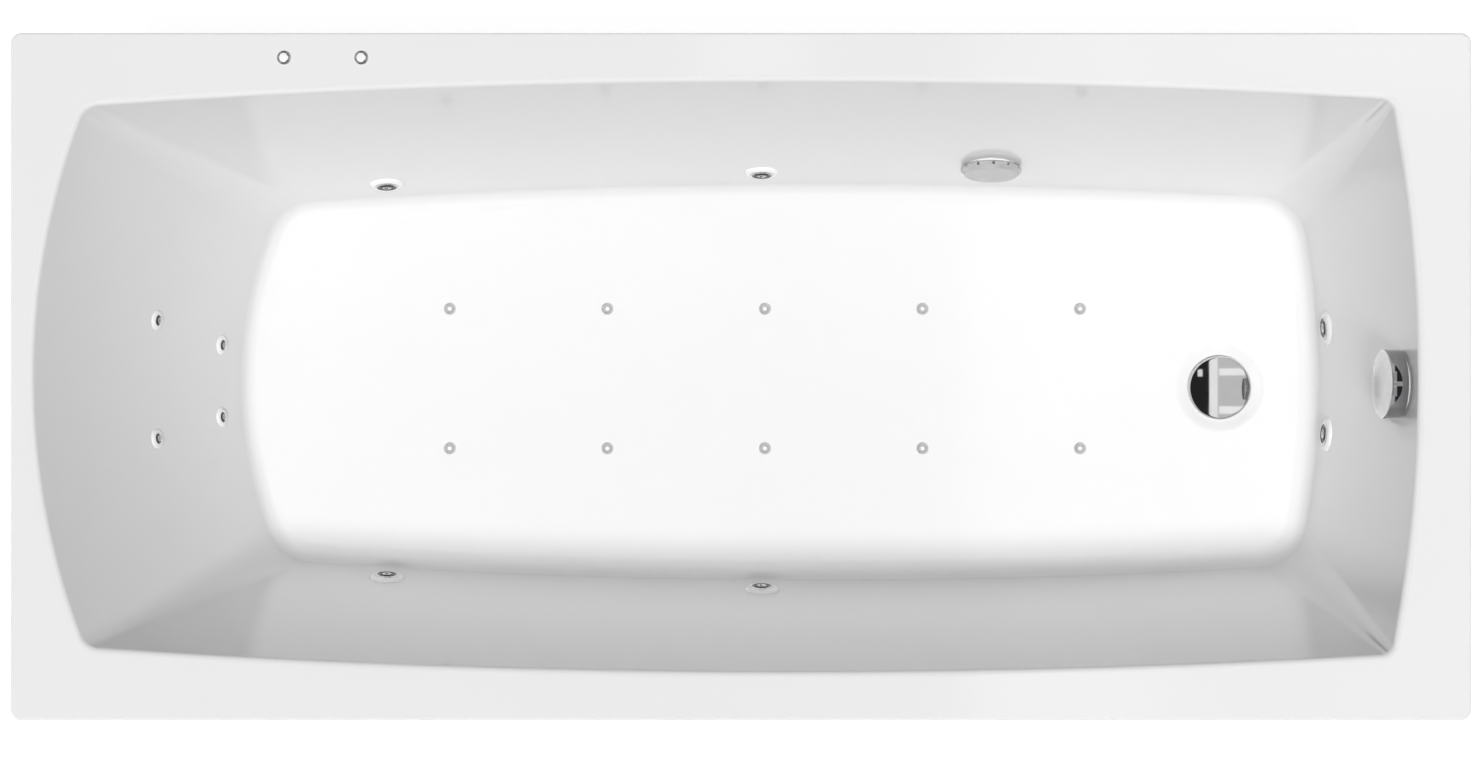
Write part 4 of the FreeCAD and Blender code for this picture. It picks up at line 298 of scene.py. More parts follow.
def finish(name, metallic=0.0):
    """A new material with its tree, its shader and object coordinates."""
    material = bpy.data.materials.new(name)
    material.use_nodes = True
    tree = material.node_tree
    shader = tree.nodes["Principled BSDF"]
    shader.inputs["Metallic"].default_value = metallic
    return material, tree, shader, tree.nodes.new("ShaderNodeTexCoord").outputs["Object"]


def with_group(tree, maker, vector, **values):
    """Places a shared group, sets its values and gives what comes out of it."""
    inputs = {label.replace("_", " "): value for label, value in values.items()}
    inputs["Vector"] = vector
    return add_node(tree, "ShaderNodeGroup", inputs, node_tree=shared_group(maker)).outputs


def feed(tree, shader, colour, rough, height, relief, depth):
    """Feeds a shader its colour, its roughness and a fine relief."""
    bump = add_node(tree, "ShaderNodeBump", {"Strength": relief, "Distance": depth, "Height": height})
    for value, label in ((colour, "Base Color"), (rough, "Roughness"), (bump.outputs["Normal"], "Normal")):
        tree.links.new(value, shader.inputs[label])


def toned(shade, share=1.0):
    """A colour with alpha, darkened or lightened by a share."""
    return (*(channel * share for channel in shade), 1)


def mottled(name, shade, worn, clouds, grain, smooth, rough, relief, depth, metallic):
    """A finish of one colour with cloudy shade and roughness, and a fine relief."""
    material, tree, shader, vector = finish(name, metallic)
    made = with_group(tree, mottled_group, vector, Shade=toned(shade), Shade_Worn=toned(shade, worn),
                      Cloud_Scale=clouds, Grain_Scale=grain, Smooth=smooth, Rough=rough)
    feed(tree, shader, made["Color"], made["Roughness"], made["Height"], relief, depth)
    return material


def streaked(name, shade, streak, scale, smooth, rough):
    """A metal with fine streaks that follow one axis."""
    material, tree, shader, vector = finish(name, 1.0)
    cloudy = with_group(tree, mottled_group, vector, Shade=toned(shade), Shade_Worn=toned(shade, 0.86),
                        Cloud_Scale=30.0)
    drawn = with_group(tree, brushed_group, vector, Streak=streak, Scale=scale, Smooth=smooth, Rough=rough)
    feed(tree, shader, cloudy["Color"], drawn["Roughness"], drawn["Height"], 0.08, 0.0001)
    return material


def chipboard(name, shade):
    """Sealed board of pressed flakes."""
    material, tree, shader, vector = finish(name)
    made = with_group(tree, chipboard_group, vector, Pale=toned(shade), Dark=toned(shade, 0.5),
                      Flake_Scale=170.0)
    feed(tree, shader, made["Color"], made["Roughness"], made["Height"], 0.25, 0.0006)
    return material


# slot: (name, colour, worn shade, cloud scale, grain scale, smooth, rough, relief, depth, metallic)
MOTTLED = {
    "white_acrylic": ("white acrylic", "acrylic", 0.985, 3.0, 14.0, 0.06, 0.12, 0.04, 0.0008, 0.0),
    "white_fitting": ("white fittings", "fitting", 0.97, 60.0, 900.0, 0.12, 0.2, 0.05, 0.0001, 0.0),
    "chrome": ("polished chrome", "chrome", 0.96, 40.0, 60.0, 0.02, 0.05, 0.01, 0.0002, 1.0),
    # this finish's dark chrome is painted shade for the jets' throats
    "smoked_chrome": ("smoked chrome", "smoked", 0.8, 60.0, 300.0, 0.12, 0.22, 0.02, 0.0002, 1.0),
    # painted reflection on the overflow knob's side
    "dark_chrome": ("dark chrome", "side", 0.92, 40.0, 60.0, 0.03, 0.07, 0.01, 0.0002, 1.0),
    "satin_chrome": ("satin chrome", "knob", 0.96, 40.0, 900.0, 0.26, 0.34, 0.02, 0.0001, 1.0),
    "light_satin": ("light satin", "collar", 0.95, 60.0, 1200.0, 0.25, 0.35, 0.04, 0.0001, 0.5),
    "satin_cover": ("satin cover", "satin", 0.95, 50.0, 1500.0, 0.32, 0.42, 0.05, 0.0001, 0.35),
    "white_pipe": ("pressure pipe", "pipe", 0.9, 14.0, 500.0, 0.32, 0.5, 0.12, 0.0002, 0.0),
    "grey_hose": ("ribbed hose", "hose", 0.85, 25.0, 600.0, 0.4, 0.55, 0.15, 0.0002, 0.0),
    "black_rubber": ("moulded rubber", "rubber", 0.7, 60.0, 1200.0, 0.6, 0.85, 0.25, 0.0002, 0.0),
    "pump_plastic": ("glass filled plastic", "pump", 1.6, 20.0, 1400.0, 0.38, 0.6, 0.3, 0.0002, 0.0),
    "motor_paint": ("motor paint", "motor", 0.8, 12.0, 700.0, 0.3, 0.5, 0.2, 0.0003, 0.0),
    "frame_steel": ("powder coat", "steel", 0.85, 8.0, 1000.0, 0.35, 0.5, 0.35, 0.0003, 0.0),
    "rotor_plastic": ("wheel plastic", "pump", 1.5, 30.0, 900.0, 0.4, 0.6, 0.1, 0.0002, 0.0),
}
MATERIALS = {}


def make_materials():
    """Every finish of the bath, by its slot in the record."""
    shades = finishes()
    for slot, (name, shade, *values) in MOTTLED.items():
        MATERIALS[slot] = mottled(name, getattr(shades, shade), *values)
    gloss = MATERIALS["white_acrylic"].node_tree.nodes["Principled BSDF"].inputs
    gloss["Coat Weight"].default_value = 0.35
    gloss["Coat Roughness"].default_value = 0.03
    MATERIALS["zinc_steel"] = streaked("zinc plated steel", shades.zinc, (1, 1, 0.05), 700.0, 0.22, 0.42)
    MATERIALS["rotor_steel"] = streaked("turned steel", shades.zinc, (1, 0.05, 1), 900.0, 0.2, 0.35)
    MATERIALS["board"] = chipboard("sealed particle board", shades.board)


def dress(piece, slot):
    """Gives a new piece the finish of a slot."""
    piece.data.materials.clear()
    piece.data.materials.append(MATERIALS[slot])
    return piece


# ---- mesh helpers

def mesh_object(name, data):
    piece = bpy.data.objects.new(name, data)
    bpy.context.scene.collection.objects.link(piece)
    return piece


def from_bmesh(name, shape):
    data = bpy.data.meshes.new(name)
    shape.to_mesh(data)
    shape.free()
    return mesh_object(name, data)


def smooth_by_angle(piece, degrees):
    """Smooth faces, with edges sharper than an angle kept crisp."""
    data = piece.data
    data.polygons.foreach_set("use_smooth", [True] * len(data.polygons))
    data.set_sharp_from_angle(angle=math.radians(degrees))
    return piece


def evaluated_mesh(piece):
    """A new mesh of a piece as its modifiers or its curve make it."""
    graph = bpy.context.evaluated_depsgraph_get()
    graph.update()
    return bpy.data.meshes.new_from_object(piece.evaluated_get(graph), depsgraph=graph)


def as_mesh(piece, name):
    """A plain mesh object in a piece's place."""
    data = evaluated_mesh(piece)
    bpy.data.objects.remove(piece)
    data.name = name
    return mesh_object(name, data)


def baked(piece):
    """The piece with its modifiers made part of its mesh."""
    data = evaluated_mesh(piece)
    piece.modifiers.clear()
    old, piece.data = piece.data, data
    bpy.data.meshes.remove(old)


def weigh_normals(piece):
    """Flat areas keep flat shading next to their roundings."""
    modifier = piece.modifiers.new("weighted", "WEIGHTED_NORMAL")
    modifier.keep_sharp = True
    modifier.weight = 60
    baked(piece)


def arc_between(start, end, bulge, steps):
    """Points of an arc from a start to an end, given the arc's radius; positive bends left."""
    chord = end - start
    half = chord.length / 2
    radius = max(abs(bulge), half)
    side = Vector((-chord.y, chord.x)).normalized() * math.copysign(1, bulge)
    centre = start + chord / 2 + side * math.sqrt(max(radius * radius - half * half, 0))
    first = start - centre
    turn = first.angle_signed(end - centre)
    points = []
    for step in range(1, steps):
        share = -turn * step / steps
        cosine, sine = math.cos(share), math.sin(share)
        points.append(centre + Vector((first.x * cosine - first.y * sine, first.x * sine + first.y * cosine)))
    return points


def outline(corners, steps=8):
    """A profile of (radius, height[, arc radius to the next corner]) in millimetres, as metre points."""
    points = []
    for index, corner in enumerate(corners):
        start = Vector(corner[:2]) / 1000
        points.append(start)
        if len(corner) > 2:
            end = Vector(corners[(index + 1) % len(corners)][:2]) / 1000
            points += arc_between(start, end, corner[2] / 1000, steps)
    return points


def lathe_into(shape, points, place, segments):
    """Turns a closed profile about a placement's Z axis, with poles closed."""
    rings = []
    for point in points:
        if point.x < 1e-7:
            rings.append([shape.verts.new(place @ Vector((0, 0, point.y)))] * segments)
            continue
        rings.append([shape.verts.new(place @ Vector((
            point.x * math.cos(2 * math.pi * index / segments),
            point.x * math.sin(2 * math.pi * index / segments), point.y))) for index in range(segments)])
    for first, second in zip(rings, rings[1:] + rings[:1]):
        for index in range(segments):
            after = (index + 1) % segments
            corners = []
            for vert in (first[index], first[after], second[after], second[index]):
                if vert not in corners:
                    corners.append(vert)
            if len(corners) > 2:
                shape.faces.new(corners)


def lathed(name, corners, places, slot, segments=96, steps=8):
    """A turned piece, or several alike in one mesh."""
    shape = bmesh.new()
    points = outline(corners, steps)
    for place in places:
        lathe_into(shape, points, place, segments)
    bmesh.ops.recalc_face_normals(shape, faces=shape.faces)
    piece = from_bmesh(name, shape)
    smooth_by_angle(piece, 35)
    return dress(piece, slot)


FAR = 1000


def repaint(piece, places, slot, radii, heights):
    """A further finish on the faces between two radii and two heights, in mm about each turning axis."""
    piece.data.materials.append(MATERIALS[slot])
    for place in places:
        back = place.inverted()
        for face in piece.data.polygons:
            point = (back @ face.center) * 1000
            radius = math.hypot(point.x, point.y)
            if radii[0] <= radius < radii[1] and heights[0] < point.z < heights[1]:
                face.material_index = len(piece.data.materials) - 1


def place_along(point, direction):
    """A placement at a point whose Z axis follows a direction."""
    place = Vector(direction).to_track_quat("Z", "Y").to_matrix().to_4x4()
    place.translation = Vector(point)
    return place


def hinge_place(joint):
    """The placement on a joint's axis."""
    entry = JOINTS[joint]
    return place_along(entry["pos_m"], entry["axis"])


# ---- the basin

def facing(turn):
    """The level direction at an angle from -X towards +Y."""
    return Vector((-math.cos(turn), math.sin(turn), 0))


def floor_level():
    return basin().rim_top - basin().depth


def basin_arcs(level):
    """The basin's outline at a level: eight tangent arcs of (centre, radius, from, to)."""
    sizes = basin()
    share = (level - floor_level()) / sizes.depth
    half_length = sizes.rim_length / 2

    def between(low, high):
        return low + (high - low) * share

    head = between(-sizes.floor_head, sizes.rim_head - half_length)
    foot = between(sizes.floor_foot, half_length - sizes.rim_foot)
    half_width = between(sizes.floor_half_width, sizes.rim_half_width)
    head_corner = between(sizes.floor_corner, sizes.rim_head_corner)
    foot_corner = between(sizes.floor_corner, sizes.rim_foot_corner)
    ends = []
    for a, b, corner in ((sizes.head_sweep, sizes.side_sweep_head, head_corner),
                         (sizes.foot_sweep, sizes.side_sweep_foot, foot_corner)):
        ends.append((math.sin(a), math.tan(a / 2), math.sin(b), 1 - math.cos(b),
                     math.cos(b) - math.sin(a), math.cos(a) - math.sin(b), corner))
    run, divisor = foot - head, 0
    for _, rise, side_sine, side_sag, corner_up, corner_along, corner in ends:
        run -= rise * (half_width - corner * corner_up) + corner * corner_along
        divisor += side_sine - rise * side_sag
    side_radius = run / divisor
    head_radius, foot_radius = ((half_width - side_radius * side_sag - corner * corner_up) / sine
                                for sine, _, _, side_sag, corner_up, _, corner in ends)
    quarter = math.pi / 2
    turns = (sizes.head_sweep, quarter - sizes.side_sweep_head, quarter + sizes.side_sweep_foot,
             math.pi - sizes.foot_sweep, math.pi + sizes.foot_sweep)
    radii = (head_radius, head_corner, side_radius, foot_corner, foot_radius)
    centre = Vector((head + head_radius, 0, level))
    arcs = [(centre, head_radius, -sizes.head_sweep, sizes.head_sweep)]
    for turn, following, before, after in zip(turns, turns[1:], radii, radii[1:]):
        centre = centre + facing(turn) * (before - after)
        arcs.append((centre, after, turn, following))
    for centre, radius, start, end in reversed(arcs[1:4]):
        arcs.append((Vector((centre.x, -centre.y, level)), radius, 2 * math.pi - end, 2 * math.pi - start))
    return arcs


def wall_place(side, station, height):
    """The placement on a wall's face, with Z into the basin."""
    index = {"head": 0, "far": 2, "foot": 4, "near": 6}[side]
    centre, radius, _, _ = basin_arcs(floor_level() + height)[index]
    if side in ("far", "near"):
        turn = math.acos((centre.x - station) / radius)
        turn = turn if side == "far" else 2 * math.pi - turn
    else:
        turn = math.asin((station - centre.y) / radius)
        turn = turn if side == "head" else math.pi - turn
    outward = facing(turn)
    low, high = (arcs[index][0].dot(outward) + arcs[index][1]
                 for arcs in (basin_arcs(floor_level()), basin_arcs(basin().rim_top)))
    inward = (UP * (high - low) / basin().depth - outward).normalized()
    return place_along(centre + outward * radius, inward)


COLUMNS = (32, 12, 44, 12, 24, 12, 44, 12)


def rectangle_point(arc, share, inset, radius, level):
    """The point of a rounded rectangle, inset from the rim, that goes with a place on an arc."""
    sizes = basin()
    half = (sizes.rim_length / 2 - inset, sizes.rim_width / 2 - inset)
    straight = (half[0] - radius, half[1] - radius)
    if arc % 2:
        quarter = (arc - 1) // 2
        signs = ((-1, 1), (1, 1), (1, -1), (-1, -1))[quarter]
        turn = math.pi / 2 * (quarter + share)
        return Vector((signs[0] * straight[0], signs[1] * straight[1], level)) + facing(turn) * radius
    way = 2 * share - 1
    x, y = {0: (-half[0], straight[1] * way), 2: (straight[0] * way, half[1]),
            4: (half[0], -straight[1] * way), 6: (-straight[0] * way, -half[1])}[arc]
    return Vector((x, y, level))


def skin_column(arc, share, floor, top):
    """The closed section of the bath's skin at one place of the outline, from the floor's middle side
    up over the rim, down the lip and back under to the floor's underside."""
    sizes = basin()
    turn = floor[arc][2] + (floor[arc][3] - floor[arc][2]) * share
    outward = facing(turn)
    low = floor[arc][0] + outward * floor[arc][1]
    high = top[arc][0] + outward * top[arc][1]
    drift = (high - low) / sizes.depth
    slope = drift.dot(outward)
    drift -= outward * slope + UP * drift.z
    lean = math.sqrt(1 + slope * slope)

    def skin(base, radius):
        """The rounding from a level floor into the wall, whose line passes through a base point."""
        centre = -radius * (lean - slope)
        points = []
        for step in range(11):
            turned = -math.pi / 2 + (math.pi / 2 - math.atan(slope)) * step / 10
            rise = radius + radius * math.sin(turned)
            points.append(base + drift * rise + outward * (centre + radius * math.cos(turned)) + UP * rise)
        return points

    inner = skin(low, sizes.fillet)
    mouth_centre = high + outward * sizes.mouth * (lean - slope) - UP * sizes.mouth
    rounding = []
    for step in range(7):
        turned = math.pi - math.atan(slope) + (math.atan(slope) - math.pi / 2) * step / 6
        rounding.append(mouth_centre + outward * sizes.mouth * math.cos(turned)
                        + UP * sizes.mouth * math.sin(turned))
    wall = [inner[-1].lerp(rounding[0], step / 8) for step in range(1, 8)]
    rim = []
    for step in range(5):
        turned = math.pi / 2 * step / 4
        inset = sizes.rim_edge * (1 - math.sin(turned))
        rim.append(rectangle_point(arc, share, inset, sizes.rim_corner - inset,
                                   sizes.rim_top - sizes.rim_edge * (1 - math.cos(turned))))
    under = sizes.rim_top - sizes.wall
    bottom = sizes.rim_top - sizes.lip
    inset_corner = sizes.rim_corner - sizes.wall
    lip = [rectangle_point(arc, share, 0, sizes.rim_corner, bottom),
           rectangle_point(arc, share, sizes.wall, inset_corner, bottom),
           rectangle_point(arc, share, sizes.wall, inset_corner, under)]
    below = low + (high - low) * (-sizes.wall / sizes.depth) + outward * sizes.wall
    outer = skin(below, sizes.fillet + sizes.wall)[::2]
    shoulder = high + (low - high) * (sizes.wall / sizes.depth) + outward * sizes.wall
    back = [shoulder.lerp(outer[-1], step / 6) for step in range(6)]
    return inner + wall + rounding + rim + lip + back + outer[::-1]


def bath_skin():
    """The whole skin as one closed mesh, before its holes."""
    levels = basin_arcs(floor_level()), basin_arcs(basin().rim_top)
    shape = bmesh.new()
    columns = []
    for arc, count in enumerate(COLUMNS):
        for step in range(count):
            columns.append([shape.verts.new(point) for point in skin_column(arc, step / count, *levels)])
    for first, second in zip(columns, columns[1:] + columns[:1]):
        for a, b, c, d in zip(first, first[1:], second[1:], second):
            shape.faces.new((a, b, c, d))
    shape.faces.new([column[0] for column in columns])
    shape.faces.new([column[-1] for column in reversed(columns)])
    bmesh.ops.recalc_face_normals(shape, faces=shape.faces)
    return from_bmesh("bath_skin", shape)


def combine(piece, shape, operation):
    """Cuts or joins a helper mesh, which is then removed."""
    bmesh.ops.recalc_face_normals(shape, faces=shape.faces)
    helper = from_bmesh("helper", shape)
    modifier = piece.modifiers.new("combine", "BOOLEAN")
    modifier.operation = operation
    modifier.solver = "EXACT"
    modifier.object = helper
    baked(piece)
    bpy.data.objects.remove(helper)


def bar(shape, place, radius, low, high, segments=64):
    """A closed round bar along a placement's Z axis."""
    lathe_into(shape, [Vector(point) for point in ((0, low), (radius, low), (radius, high), (0, high))],
               place, segments)


def middle_of(node):
    """The middle of a node's box at rest."""
    low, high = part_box(node)
    return (low + high) / 2


def air_places():
    """Where the air jets stand on the basin's floor."""
    sizes = fittings()
    middle = middle_of("air_jet_caps")
    first = middle.x - sizes.air_pitch * (sizes.air_count - 1) / 2
    return [Vector((first + sizes.air_pitch * step, middle.y + side * sizes.air_spacing / 2, floor_level()))
            for step in range(sizes.air_count) for side in (1, -1)]


def waste_middle():
    middle = middle_of("waste_plug")
    return Vector((middle.x, middle.y, floor_level()))


BACK_JETS = (("head", 0.073, 0.200), ("head", -0.073, 0.200), ("head", 0.046, 0.060), ("head", -0.046, 0.060))


def bath_holes():
    """Round holes through the skin, and the dish round the waste."""
    sizes, holes = fittings(), bmesh.new()
    reach = 0.02
    for index in range(1, 7):
        bar(holes, hinge_place(f"jet_ring_{index}_turn"), sizes.jet_hole, -reach, reach)
    for spot in BACK_JETS:
        bar(holes, wall_place(*spot), sizes.back_jet_hole, -reach, reach, 32)
    bar(holes, suction_place(), sizes.suction_hole, -reach, reach)
    bar(holes, hinge_place("overflow_knob_turn"), sizes.overflow_hole, -reach, reach)
    for point in air_places():
        bar(holes, Matrix.Translation(point), sizes.air_hole, -reach, reach, 24)
    for index in (1, 2):
        bar(holes, button_place(index), sizes.button_hole, -reach, reach, 48)
    dish, ramp, depth = basin().recess_floor, basin().recess, basin().recess_depth
    points = [(0, -0.03), (sizes.waste_hole, -0.03), (sizes.waste_hole, -depth), (dish, -depth)]
    for step in range(1, 12):
        share = step / 12
        points.append((dish + (ramp - dish) * share, -depth * (1 - share * share * (3 - 2 * share))))
    points += [(ramp, 0.0001), (ramp, 0.02), (0, 0.02)]
    lathe_into(holes, [Vector(point) for point in points], Matrix.Translation(waste_middle()), 96)
    return holes


def suction_place():
    """The suction's placement on the far wall."""
    return wall_place("far", middle_of("suction_cover").x, fittings().suction_height)


def button_place(index):
    """A push button's placement on the rim."""
    middle = middle_of(f"push_button_{index}")
    return Matrix.Translation((middle.x, middle.y, basin().rim_top))


# ---- operators

class BathStep:
    """A step that builds some of the bath's pieces."""

    def execute(self, context):
        self.build()
        return {"FINISHED"}


class BATH_OT_skin(BathStep, Operator):
    """Makes the bath's smooth acrylic skin with its holes and its dished waste"""
    bl_idname = "bath.skin"
    bl_label = "Bath Skin"

    def build(self):
        piece = bath_skin()
        pad, wall = bmesh.new(), basin().wall
        bar(pad, Matrix.Translation(waste_middle()), basin().recess + 0.004, -2 * wall, 0.001 - wall, 96)
        combine(piece, pad, "UNION")
        combine(piece, bath_holes(), "DIFFERENCE")
        smooth_by_angle(piece, 32)
        weigh_normals(piece)
        dress(piece, "white_acrylic")
        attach(piece, "bath")
        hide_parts("bath_shell")


class BATH_OT_water_jets(BathStep, Operator):
    """Makes the six water jets: white flange, turning chrome ring and tilting ball"""
    bl_idname = "bath.water_jets"
    bl_label = "Water Jets"

    FLANGE = ((12.5, -26), (16.75, -26), (16.75, -0.3), (22.5, -0.3), (22.5, 0.7), (22.1, 1.3, 9.0),
              (18.6, 3.7), (16.2, 4.2), (15.2, 4.2), (14.3, 3.7), (14.3, -8.0), (12.5, -8.0))
    RING = ((6.96, -7.7), (14.0, -7.7), (14.0, 3.6, 1.5), (12.6, 5.0), (11.6, 5.0, 1.0), (10.8, 4.4),
            (8.45, 3.9, -9.3), (6.96, -6.15))
    BALL = ((4.0, -5.6), (7.05, -5.6, 9.0), (7.05, 5.6), (5.5, 5.6), (4.6, 4.6), (4.0, 2.6))

    def build(self):
        places = [hinge_place(f"jet_ring_{index}_turn") for index in range(1, 7)]
        flanges = lathed("jet_collars", self.FLANGE, places, "white_fitting")
        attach(flanges, "bath")
        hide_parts("jet_flanges")
        for index, place in enumerate(places, start=1):
            ring = lathed(f"jet_face_{index}", self.RING, [place], "chrome", segments=72)
            # painted shade: the ring's inner face is dark chrome for the shade in the jet's throat
            repaint(ring, [place], "smoked_chrome", (0, 12.3), (-8, FAR))
            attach(ring, f"jet_ring_{index}")
            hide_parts(f"jet_ring_{index}")
            ball = lathed(f"jet_ball_{index}", self.BALL, [place], "chrome", segments=48)
            # painted shade: the ball's rim is dark chrome for the same shade in the throat
            repaint(ball, [place], "smoked_chrome", (5.4, FAR), (-FAR, FAR))
            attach(ball, f"jet_nozzle_{index}")
            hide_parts(f"jet_nozzle_{index}")


class BATH_OT_back_jets(BathStep, Operator):
    """Makes the four small jets of the back rest"""
    bl_idname = "bath.back_jets"
    bl_label = "Back Jets"

    FLANGE = ((3.25, -18), (8, -18), (8, -0.3), (12.5, -0.3), (12.5, 0.6), (12.2, 0.9, 9.0), (7.6, 2.8),
              (6.9, 2.8), (6.5, 2.4), (6.5, -4), (3.25, -4))
    TIP = ((2.25, -4), (6.5, -4), (6.5, 1.2), (6.2, 1.8, 9.0), (3.4, 3.8), (2.7, 3.7), (2.25, 3.0))

    def build(self):
        places = [wall_place(*spot) for spot in BACK_JETS]
        for name, corners, slot, node in (
                ("back_jet_collars", self.FLANGE, "white_fitting", "back_jet_flanges"),
                ("back_jet_tips", self.TIP, "chrome", "back_jet_nozzles")):
            piece = lathed(name, corners, places, slot, segments=48)
            if slot == "chrome":
                # painted shade: dark chrome inside the tip for the shade in its throat
                repaint(piece, places, "smoked_chrome", (3.2, 7), (0, 4))
            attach(piece, "bath")
            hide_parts(node)


class BATH_OT_air_jets(BathStep, Operator):
    """Sets the air jets' caps out on the basin's floor"""
    bl_idname = "bath.air_jets"
    bl_label = "Air Jets"

    CAP = ((0, -22), (4, -22), (4, 0), (7.75, 0), (7.75, 0.5), (7.5, 0.85), (7.0, 1.0), (5.4, 1.1),
           (5.2, 1.3, 4.4), (3.4, 2.3), (2.9, 2.4), (2.5, 2.2), (2.3, 1.2), (0, 1.2))

    def build(self):
        cap = lathed("air_cap", self.CAP, [Matrix.Identity(4)], "chrome", segments=40, steps=5)
        sizes = fittings()
        tree, source, sink = geometry_tree(
            "air jet grid", ("Cap", "NodeSocketObject", None), ("Pitch", FLOAT, sizes.air_pitch),
            ("Row Spacing", FLOAT, sizes.air_spacing), ("Count", "NodeSocketInt", sizes.air_count))
        info = add_node(tree, "GeometryNodeObjectInfo", {"Object": source["Cap"]})
        gaps = math_node(tree, "SUBTRACT", source["Count"], 1)
        grid = add_node(tree, "GeometryNodeMeshGrid", {
            "Size X": math_node(tree, "MULTIPLY", gaps, source["Pitch"]), "Size Y": source["Row Spacing"],
            "Vertices X": source["Count"], "Vertices Y": 2})
        stand = add_node(tree, "GeometryNodeInstanceOnPoints", {
            "Points": grid.outputs["Mesh"], "Instance": info.outputs["Geometry"]})
        finish_tree(tree, stand.outputs["Instances"], source, sink)
        points = air_places()
        middle = sum(points, Vector()) / len(points)
        piece = grown("air_jet_domes", tree, {
            "Cap": cap, "Pitch": sizes.air_pitch, "Row Spacing": sizes.air_spacing,
            "Count": sizes.air_count, "Finish": MATERIALS["chrome"]})
        piece.data.transform(Matrix.Translation(middle))
        bpy.data.objects.remove(cap)
        dress(piece, "chrome")
        places = [Matrix.Translation(point) for point in points]
        repaint(piece, places, "light_satin", (5.3, 8), (-FAR, FAR))
        repaint(piece, places, "satin_cover", (2.4, 4.8), (0, FAR))
        # painted highlight: the cap's centre is white for the bright glint on its chrome
        repaint(piece, places, "white_fitting", (0, 2.35), (0, FAR))
        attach(piece, "bath")
        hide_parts("air_jet_caps")


class BATH_OT_waste(BathStep, Operator):
    """Makes the polished plug and the overflow knob"""
    bl_idname = "bath.waste"
    bl_label = "Plug and Knob"

    PLUG = ((0, -46), (3.4, -46), (4, -45.4), (4, 0), (40.0, 0), (40.7, 0.3), (41, 1.0), (41, 3.4, 3.3),
            (38, 6.7, 400.0), (0, 8.5))
    KNOB = ((0, -30), (8, -30), (8, 21), (38, 21), (38, 3.4), (38.4, 3), (40, 3), (40.7, 3.3), (41, 4),
            (41, 22.2, 2.3), (39.2, 24.2, 276.0), (0, 27.0))

    def build(self):
        seat = waste_middle()
        seat.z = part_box("waste_plug")[1].z - self.PLUG[-1][1] / 1000
        plug = lathed("plug_dome", self.PLUG, [Matrix.Translation(seat)], "chrome", segments=128, steps=24)
        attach(plug, "waste_plug")
        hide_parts("waste_plug")
        places = [hinge_place("overflow_knob_turn")]
        knob = lathed("knob_cap", self.KNOB, places, "chrome", segments=128)
        repaint(knob, places, "satin_chrome", (0, 39.1), (24, FAR))
        # painted reflection: the knob's side gets darker chrome for the dark surroundings it mirrors
        repaint(knob, places, "dark_chrome", (40.5, FAR), (4, FAR))
        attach(knob, "overflow_knob")
        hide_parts("overflow_knob")


class BATH_OT_buttons(BathStep, Operator):
    """Makes the two push buttons in their bezels"""
    bl_idname = "bath.buttons"
    bl_label = "Push Buttons"

    BEZEL = ((0, -30), (8, -30), (10, -28), (10, -6), (7.2, -6), (7.2, 0), (8.5, 0), (8.5, 0.6, 1.1),
             (7.5, 1.6), (6.7, 1.5), (6.3, 1.2), (6.3, -21), (0, -21))
    DOME = ((0, -17), (6, -17), (6, 1.6), (5.7, 2.3, 8.0), (0, 3.6))

    def build(self):
        places = []
        for index in (1, 2):
            places.append(button_place(index))
            dome = lathed(f"button_dome_{index}", self.DOME, places[-1:], "chrome", segments=48)
            # painted reflection: the button's top is white for the bright reflection on its chrome dome
            repaint(dome, places[-1:], "white_fitting", (0, 5.2), (2, FAR))
            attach(dome, f"push_button_{index}")
            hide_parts(f"push_button_{index}")
        bezels = lathed("button_rings", self.BEZEL, places, "chrome", segments=48)
        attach(bezels, "bath")
        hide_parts("button_bezels")


# ---- geometry nodes

def geometry_tree(name, *inputs):
    """An empty geometry tree with its inputs, the finish last."""
    geometry = ("Geometry", "NodeSocketGeometry")
    return new_tree(name, "GeometryNodeTree",
                    ((*geometry, None), *inputs, ("Finish", "NodeSocketMaterial", None)), (geometry,))


def finish_tree(tree, geometry, source, sink):
    """Realizes what a tree has set out and gives it its finish."""
    real = add_node(tree, "GeometryNodeRealizeInstances", {"Geometry": geometry})
    paint = add_node(tree, "GeometryNodeSetMaterial", {
        "Geometry": real.outputs["Geometry"], "Material": source["Finish"]})
    tree.links.new(paint.outputs["Geometry"], sink["Geometry"])


def grown(name, tree, values, source=None):
    """The mesh that a geometry tree makes, as a plain piece."""
    piece = source or mesh_object(name, bpy.data.meshes.new(name))
    modifier = piece.modifiers.new("tree", "NODES")
    modifier.node_group = tree
    for socket in tree.interface.items_tree:
        if socket.in_out == "INPUT" and socket.name in values:
            modifier[socket.identifier] = values[socket.name]
    return as_mesh(piece, name)


def smooth_route(name, points):
    """One smooth open curve with a route's points as its control points."""
    data = bpy.data.curves.new(name, "CURVE")
    data.dimensions = "3D"
    data.resolution_u = 12
    line = data.splines.new("NURBS")
    line.points.add(len(points) - 1)
    for knot, point in zip(line.points, points):
        knot.co = (*point, 1)
    line.order_u = 3
    line.use_endpoint_u = True
    return data


